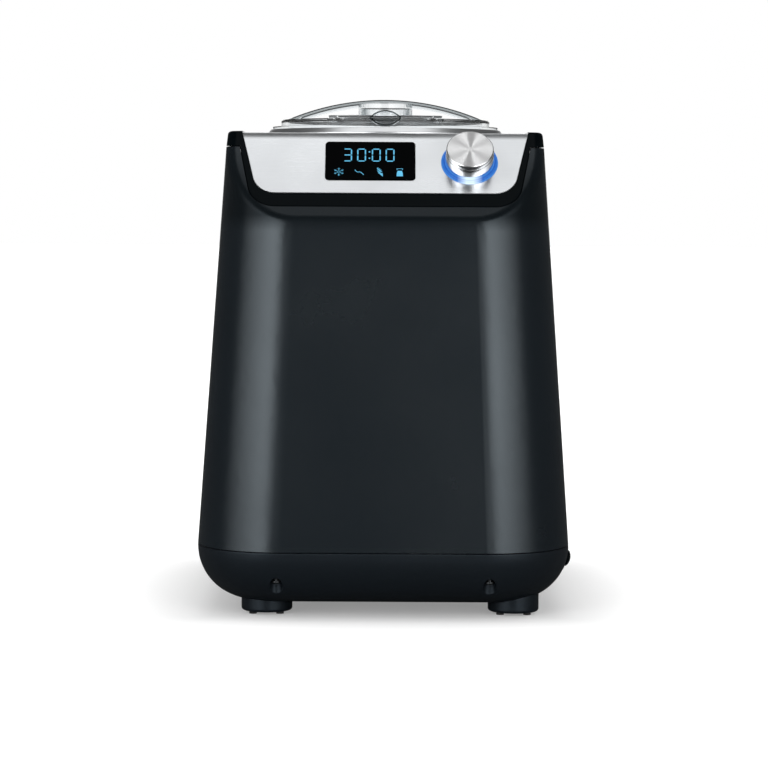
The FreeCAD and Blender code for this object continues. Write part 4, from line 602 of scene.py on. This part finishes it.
def ring_outline():
    """The light ring's section: a low dome with three fine turned ridges."""
    r, top = RING_R, RING_FACE - PANEL_FACE
    points = [(RING_HOLE_R, 0.0), (RING_HOLE_R, top - RING_SINK), (r - 4.2 * MM, top - RING_SINK),
              (r - 3.9 * MM, top)]
    start, end = r - 3.3 * MM, r - 0.05 * MM
    for k in range(RING_STEPS + 1):
        t = k / RING_STEPS
        dome = top * math.cos(t * math.pi / 2.0) ** 0.7 if t < 1.0 else RING_EDGE
        ripple = RIDGE_DEPTH * (math.cos(2.0 * math.pi * RIDGES * t) - 1.0)
        points.append((start + (end - start) * t, max(RING_EDGE, dome + ripple)))
    return points + [(r, 0.12 * MM), (r - 0.1 * MM, 0.0)]


def radius_about(node_name, centre):
    """The furthest that a node's vertices lie from the slope's normal through a point."""
    spread = 0.0
    for vertex in NODES[node_name].data.vertices:
        arm = vertex.co - centre
        spread = max(spread, (arm - SLOPE_NORMAL * arm.dot(SLOPE_NORMAL)).length)
    return spread


KNOB_R = radius_about("control_knob", KNOB_POINT)
RING_R = radius_about("knob_light_ring", KNOB_POINT)
KNOB_PLACE = slope_matrix(KNOB_POINT.x, KNOB_POINT.dot(SLOPE_UP), PANEL_FACE)


def build_knob():
    knob = add_piece("knob_turned", *lathe(knob_outline()), MATERIALS["knob"], "knob", "knob", KNOB_PLACE)
    knob.data.materials.append(KNOB_WALL)
    for face in knob.data.polygons:
        face.material_index = 0 if face.normal.z > 0.99 else 1
    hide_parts("control_knob")


def build_ring():
    material = MATERIALS["light_blue"]
    ring = add_piece("knob_ring_lit", *lathe(ring_outline()), material, "body", "light_blue", KNOB_PLACE)
    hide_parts("knob_light_ring")


build_knob()
build_ring()


THUMB_ARC_R = 14.65 * MM
THUMB_ARC_OFFSET = 9.0 * MM
THUMB_HEIGHT = 350.5 * MM
THUMB_RIM_WIDTH = 1.1 * MM
THUMB_RIM_DEPTH = 1.6 * MM
THUMB_RIM_SINK = 0.6 * MM
LENS_STEPS = 24


def lens_outline(radius):
    """The eye shape between two arcs, as (x, z) about its middle."""
    half = math.acos(THUMB_ARC_OFFSET / radius)
    points = []
    for side in (1, -1):
        for k in range(LENS_STEPS):
            a = half - 2.0 * half * k / LENS_STEPS
            points.append((side * radius * math.sin(a), side * (radius * math.cos(a) - THUMB_ARC_OFFSET)))
    return points


def build_thumb_rim():
    """A rim around the flap's thumb scoop in dark clear plastic: painted shade that draws the scoop's dark
    outline.
    """
    front = reach("refill_flap", Vector((0, 1, 0)))[0] + THUMB_RIM_SINK
    outer, inner = lens_outline(THUMB_ARC_R), lens_outline(THUMB_ARC_R - THUMB_RIM_WIDTH)
    count = len(outer)
    vertices = []
    for y in (front, front + THUMB_RIM_DEPTH):
        for outline in (outer, inner):
            vertices += [(x, y, THUMB_HEIGHT + z) for x, z in outline]
    faces = []
    for k in range(count):
        n = (k + 1) % count
        faces.append((k, n, count + n, count + k))
        faces.append((2 * count + k, 3 * count + k, 3 * count + n, 2 * count + n))
        faces.append((k, 2 * count + k, 2 * count + n, n))
        faces.append((count + k, count + n, 3 * count + n, 3 * count + k))
    add_piece("thumb_scoop_rim", vertices, faces, THUMB_RIM_SHADE, "flap", "clear")


build_thumb_rim()


# ---------------------------------------------------------------- display marks, in millimetres on the glass
DIGIT_W = 6.25
DIGIT_LOW = -1.0
DIGIT_HIGH = 10.9
STROKE = 0.88
SEGMENT_GAP = 0.34
DIGITS = ((-19.1, "3"), (-9.3, "0"), (1.0, "0"), (10.7, "0"))
LIT_SEGMENTS = {"3": "abcdg", "0": "abcdef"}
COLON_X = -0.65
COLON_UP = (2.0, 7.9)
COLON_R = 0.6
ICON_UP = -10.6
FLAKE_X = -21.95
COOLING_X = -7.65
CONE_X = 6.75
JAR_X = 20.65
MARK_HEIGHT = 0.05
MARK_LIFT = 0.005
OVAL_POINTS = 20
FLAKE_ARMS = 6


def bar(start, end, width):
    """A straight bar with square ends."""
    along = (Vector(end) - Vector(start)).normalized()
    side = Vector((-along.y, along.x)) * (width / 2.0)
    first, last = Vector(start), Vector(end)
    return [tuple(first - side), tuple(last - side), tuple(last + side), tuple(first + side)]


def segment(start, end):
    """A display segment between two corners of the digit: a bar with pointed ends."""
    along = (Vector(end) - Vector(start)).normalized()
    side = Vector((-along.y, along.x)) * (STROKE / 2.0)
    first, last = Vector(start) + along * SEGMENT_GAP, Vector(end) - along * SEGMENT_GAP
    inner = along * (STROKE / 2.0)
    corners = [first, first + inner - side, last - inner - side, last]
    corners += [last - inner + side, first + inner + side]
    return [tuple(corner) for corner in corners]


def digit_shapes(left, figure):
    """The lit segments of one figure, as outlines in millimetres on the glass."""
    half = STROKE / 2.0
    x0, x1 = left + half, left + DIGIT_W - half
    y0, y1 = DIGIT_LOW + half, DIGIT_HIGH - half
    middle = (y0 + y1) / 2.0
    places = {"a": ((x0, y1), (x1, y1)), "b": ((x1, middle), (x1, y1)), "c": ((x1, y0), (x1, middle)),
              "d": ((x0, y0), (x1, y0)), "e": ((x0, y0), (x0, middle)), "f": ((x0, middle), (x0, y1)),
              "g": ((x0, middle), (x1, middle))}
    return [segment(*places[letter]) for letter in LIT_SEGMENTS[figure]]


def oval(x, y, half_x, half_y, tilt=0.0):
    """An ellipse about a point, turned by a tilt in radians."""
    shape = []
    for k in range(OVAL_POINTS):
        a = 2.0 * math.pi * k / OVAL_POINTS
        px, py = half_x * math.cos(a), half_y * math.sin(a)
        turned_x = x + px * math.cos(tilt) - py * math.sin(tilt)
        turned_y = y + px * math.sin(tilt) + py * math.cos(tilt)
        shape.append((turned_x, turned_y))
    return shape


def flake_shapes(x, y):
    """A snow flake of six arms with side twigs."""
    shapes = []
    for k in range(FLAKE_ARMS):
        a = math.radians(30.0 + 360.0 / FLAKE_ARMS * k)
        arm = Vector((math.cos(a), math.sin(a)))
        centre = Vector((x, y))
        shapes.append(bar(centre + arm * 0.5, centre + arm * 3.7, 0.3))
        for turn in (-52.0, 52.0):
            b = a + math.radians(turn)
            twig = Vector((math.cos(b), math.sin(b)))
            root = centre + arm * 2.4
            shapes.append(bar(root, root + twig * 0.95, 0.26))
    return shapes


def line_shapes(points, width):
    return [bar(start, end, width) for start, end in zip(points, points[1:])]


def cooling_shapes(x, y):
    """A falling line with two waves."""
    steps = ((-3.1, 1.9), (-2.0, 0.4), (-1.1, -0.2), (0.2, 0.0), (1.2, -0.3), (2.2, -1.6), (3.1, -2.6))
    return line_shapes([(x + dx, y + dy) for dx, dy in steps], 0.45)


def cone_shapes(x, y):
    """A whirl of ice cream in a cone, leaning over."""
    lean = math.radians(32.0)
    shapes = [oval(x - 1.5, y + 3.4, 0.6, 0.45, lean), oval(x - 0.9, y + 2.3, 1.25, 0.42, lean)]
    shapes += [oval(x - 0.3, y + 1.1, 1.6, 0.42, lean), oval(x + 0.1, y - 0.1, 1.7, 0.4, lean)]
    shapes.append([(x - 1.0, y - 1.0), (x + 2.1, y - 4.3), (x + 1.9, y - 1.1), (x + 1.6, y - 1.0)])
    return shapes


def jar_shapes(x, y):
    """A tub with its lid."""
    tub = [(x - 2.2, y - 3.8), (x + 2.2, y - 3.8), (x + 2.1, y - 1.2), (x + 1.5, y + 1.1), (x - 1.5, y + 1.1),
           (x - 2.1, y - 1.2)]
    rim = line_shapes([(x - 1.8, y + 1.9), (x - 2.1, y + 3.1), (x + 2.1, y + 3.1), (x + 1.8, y + 1.9)], 0.3)
    return [tub] + rim


def build_marks():
    """The lit figures and signs, laid just on the display's glass."""
    shapes = []
    for left, figure in DIGITS:
        shapes += digit_shapes(left, figure)
    shapes += [oval(COLON_X, up, COLON_R, COLON_R) for up in COLON_UP]
    shapes += flake_shapes(FLAKE_X, ICON_UP) + cooling_shapes(COOLING_X, ICON_UP)
    shapes += cone_shapes(CONE_X, ICON_UP) + jar_shapes(JAR_X, ICON_UP)
    vertices, faces = [], []
    for shape in shapes:
        start, count = len(vertices), len(shape)
        for height in (0.0, MARK_HEIGHT):
            vertices += [(x * MM, y * MM, height * MM) for x, y in shape]
        faces.append([start + count + k for k in range(count)])
        faces.append([start + k for k in reversed(range(count))])
        for k in range(count):
            n = (k + 1) % count
            faces.append((start + k, start + n, start + count + n, start + count + k))
    centre = slope_matrix(sum(GLASS_X) / 2.0, sum(GLASS_UP) / 2.0, GLASS_FACE + MARK_LIFT * MM)
    add_piece("display_marks", vertices, faces, MARK_BLUE, "body", "light_blue", centre, smooth=False)


build_marks()


# ---------------------------------------------------------------- stage, lights, camera
def add_light(name, corners, faces, shades, strength, seen_through):
    """A glowing sheet that the camera doesn't see. Each corner's two shades, multiplied, fade its light."""
    mesh = bpy.data.meshes.new(name)
    mesh.from_pydata(corners, [], faces)
    layer = mesh.uv_layers.new(name="shade")
    for loop in mesh.loops:
        layer.data[loop.index].uv = shades[loop.vertex_index]
    obj = bpy.data.objects.new(name, mesh)
    bpy.context.scene.collection.objects.link(obj)
    material, tree, shader = new_material(name + "_light")
    tree.nodes.remove(shader)
    parts = node(tree, "SeparateXYZ", {0: node(tree, "UVMap", uv_map="shade").outputs[0]})
    level = maths(tree, "MULTIPLY", parts.outputs[0], parts.outputs[1])
    glow = node(tree, "Emission", {"Color": WHITE, "Strength": maths(tree, "MULTIPLY", level, strength)})
    tree.links.new(glow.outputs[0], tree.nodes["Material Output"].inputs["Surface"])
    mesh.materials.append(material)
    obj.visible_camera = False
    obj.visible_shadow = False
    obj.visible_transmission = seen_through
    obj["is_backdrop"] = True


def fade(t, low, high):
    """Rises from 0 to 1 over the first part of a side and falls to 0 over its last part."""
    rise = min(1.0, t / low)
    fall = min(1.0, (1.0 - t) / high)
    return rise * fall


def sheet_grid(columns, rows, corner_at, shade_at):
    """Corners, quads and shades of a sheet. Both functions take the shares of the way along its two sides."""
    corners, shades, faces = [], [], []
    for i in range(columns + 1):
        for j in range(rows + 1):
            corners.append(corner_at(i / columns, j / rows))
            shades.append(shade_at(i / columns, j / rows))
    for i in range(columns):
        for j in range(rows):
            k = i * (rows + 1) + j
            faces.append((k, k + 1, k + rows + 2, k + rows + 1))
    return corners, faces, shades


WALL_BOTTOM = -0.3
WALL_TOP = 1.6
WALL_SOFT_HEIGHT = 0.2
WALL_GRID = (48, 12)
TOP_GRID = (24, 24)


def curved_light(name, start, end, strength, soft_start, soft_end):
    """A light wall standing on an arc around the object, from one azimuth in degrees to another."""

    def corner_at(t, v):
        angle = math.radians(start + (end - start) * t)
        height = WALL_BOTTOM + (WALL_TOP - WALL_BOTTOM) * v
        return LIGHT_DISTANCE * math.sin(angle), -LIGHT_DISTANCE * math.cos(angle), height

    def shade_at(t, v):
        return fade(t, soft_start, soft_end), fade(v, WALL_SOFT_HEIGHT, WALL_SOFT_HEIGHT)

    add_light(name, *sheet_grid(*WALL_GRID, corner_at, shade_at), strength, seen_through=False)


def top_light(name, centre, width, depth, strength, soft_x, soft_y):
    """A level light sheet above the object."""

    def corner_at(t, v):
        return centre[0] + (t - 0.5) * width, centre[1] + (v - 0.5) * depth, centre[2]

    def shade_at(t, v):
        return fade(t, soft_x, soft_x), fade(v, soft_y, soft_y)

    add_light(name, *sheet_grid(*TOP_GRID, corner_at, shade_at), strength, seen_through=True)


LIGHT_DISTANCE = 2.2
FRONT_STRENGTH = 4.4
BACK_STRENGTH = 1.6
TOP_STRENGTH = 1.55
FRONT_FADE = (0.12, 0.75)
BACK_FADE = (0.3, 0.3)
curved_light("wall_left", -15.0, -84.0, FRONT_STRENGTH, *FRONT_FADE)
curved_light("wall_right", 10.0, 70.0, FRONT_STRENGTH, *FRONT_FADE)
curved_light("wall_back", 160.0, 200.0, BACK_STRENGTH, *BACK_FADE)
top_light("sheet_top", (0.0, -0.25, 2.1), 2.4, 1.3, TOP_STRENGTH, 0.15, 0.3)


FLOOR_HALF = 14.0
FLOOR_GREY = 0.62
FLOOR_MIRRORED_GREY = 0.05
FOOTPRINT_HALF = (0.12, 0.13)
# Floor glow near and away from the footprint: the weaker glow near it is a painted shadow.
GLOW_STRENGTHS = (0.25, 0.66)
GLOW_DISTANCES = (0.0, 0.09)


def build_floor():
    """A wide pale floor, dark in reflections. It glows less near the object's footprint: a painted shadow
    around the base.
    """
    mesh = bpy.data.meshes.new("floor")
    h = FLOOR_HALF
    mesh.from_pydata([(-h, -h, 0), (h, -h, 0), (h, h, 0), (-h, h, 0)], [], [(0, 1, 2, 3)])
    obj = bpy.data.objects.new("floor", mesh)
    bpy.context.scene.collection.objects.link(obj)
    material, tree, shader = new_material("floor_paper")
    paper = noise(tree, 500.0, detail=4.0)
    glossy = node(tree, "LightPath").outputs["Is Glossy Ray"]
    tone = mix_colour(tree, glossy, grey(FLOOR_GREY), grey(FLOOR_MIRRORED_GREY))
    fill(tree, shader.inputs["Base Color"], tone)
    fill(tree, shader.inputs["Normal"], bump(tree, paper, 0.0001, 0.1))
    parts = object_parts(tree)
    steps = []
    for axis, half in enumerate(FOOTPRINT_HALF):
        past = maths(tree, "SUBTRACT", maths(tree, "ABSOLUTE", parts[axis], 0.0), half)
        steps.append(maths(tree, "POWER", maths(tree, "MAXIMUM", past, 0.0), 2.0))
    away = maths(tree, "SQRT", maths(tree, "ADD", *steps), 0.0)
    # Painted shadow: the floor glows less close to the object's footprint.
    painted_shadow_glow = ramp(tree, away, *GLOW_STRENGTHS, *GLOW_DISTANCES)
    direct = maths(tree, "SUBTRACT", 1.0, glossy)
    fill(tree, shader.inputs["Emission Strength"], maths(tree, "MULTIPLY", painted_shadow_glow, direct))
    shader.inputs["Emission Color"].default_value = WHITE
    shader.inputs["Roughness"].default_value = 0.9
    shader.inputs["Specular IOR Level"].default_value = 0.1
    mesh.materials.append(material)
    obj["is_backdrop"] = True


build_floor()


def build_world():
    """A white room. It is dim in reflections, and dim above and below in what is seen through clear plastic."""
    world = bpy.data.worlds.new("studio")
    bpy.context.scene.world = world
    world.use_nodes = True
    tree = world.node_tree
    tree.nodes.clear()
    output = tree.nodes.new("ShaderNodeOutputWorld")
    seen = node(tree, "Background", {"Color": WHITE, "Strength": 1.0})
    path = node(tree, "LightPath")
    through = path.outputs["Is Transmission Ray"]
    mirrored = maths(tree, "MULTIPLY", path.outputs["Is Glossy Ray"], maths(tree, "SUBTRACT", 1.0, through))
    direction = node(tree, "SeparateXYZ", {0: node(tree, "TexCoord").outputs["Generated"]})
    overhead = ramp(tree, maths(tree, "ABSOLUTE", direction.outputs[2], 0.0), 0.0, 0.9, 0.3, 0.8)
    dim = ramp(tree, direction.outputs[1], 0.11, 0.06, -0.5, 0.1)
    fill_light = node(tree, "Background", {"Color": WHITE, "Strength": dim})
    dimmed = maths(tree, "MAXIMUM", mirrored, maths(tree, "MULTIPLY", through, overhead))
    blend = node(tree, "MixShader", {0: dimmed, 1: seen.outputs[0], 2: fill_light.outputs[0]})
    tree.links.new(blend.outputs[0], output.inputs["Surface"])


build_world()

CAMERA_PLACE = (0.0, -1.988, 0.2936)
CAMERA_PITCH_DEG = -4.0
CAMERA_ROLL_DEG = 0.3
LENS_MM = 125.25
SENSOR_MM = 36.0


def build_camera():
    camera = bpy.data.cameras.new("camera")
    camera.lens = LENS_MM
    camera.sensor_width = SENSOR_MM
    obj = bpy.data.objects.new("camera", camera)
    bpy.context.scene.collection.objects.link(obj)
    turn = Matrix.Rotation(math.radians(90.0 + CAMERA_PITCH_DEG), 4, "X")
    roll = Matrix.Rotation(math.radians(CAMERA_ROLL_DEG), 4, "Z")
    obj.matrix_world = Matrix.Translation(CAMERA_PLACE) @ turn @ roll
    bpy.context.scene.camera = obj


build_camera()
bpy.context.scene.view_settings.view_transform = "Standard"

boxes = [[list(corner) for corner in box] for box in (CAD_BOX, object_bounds())]
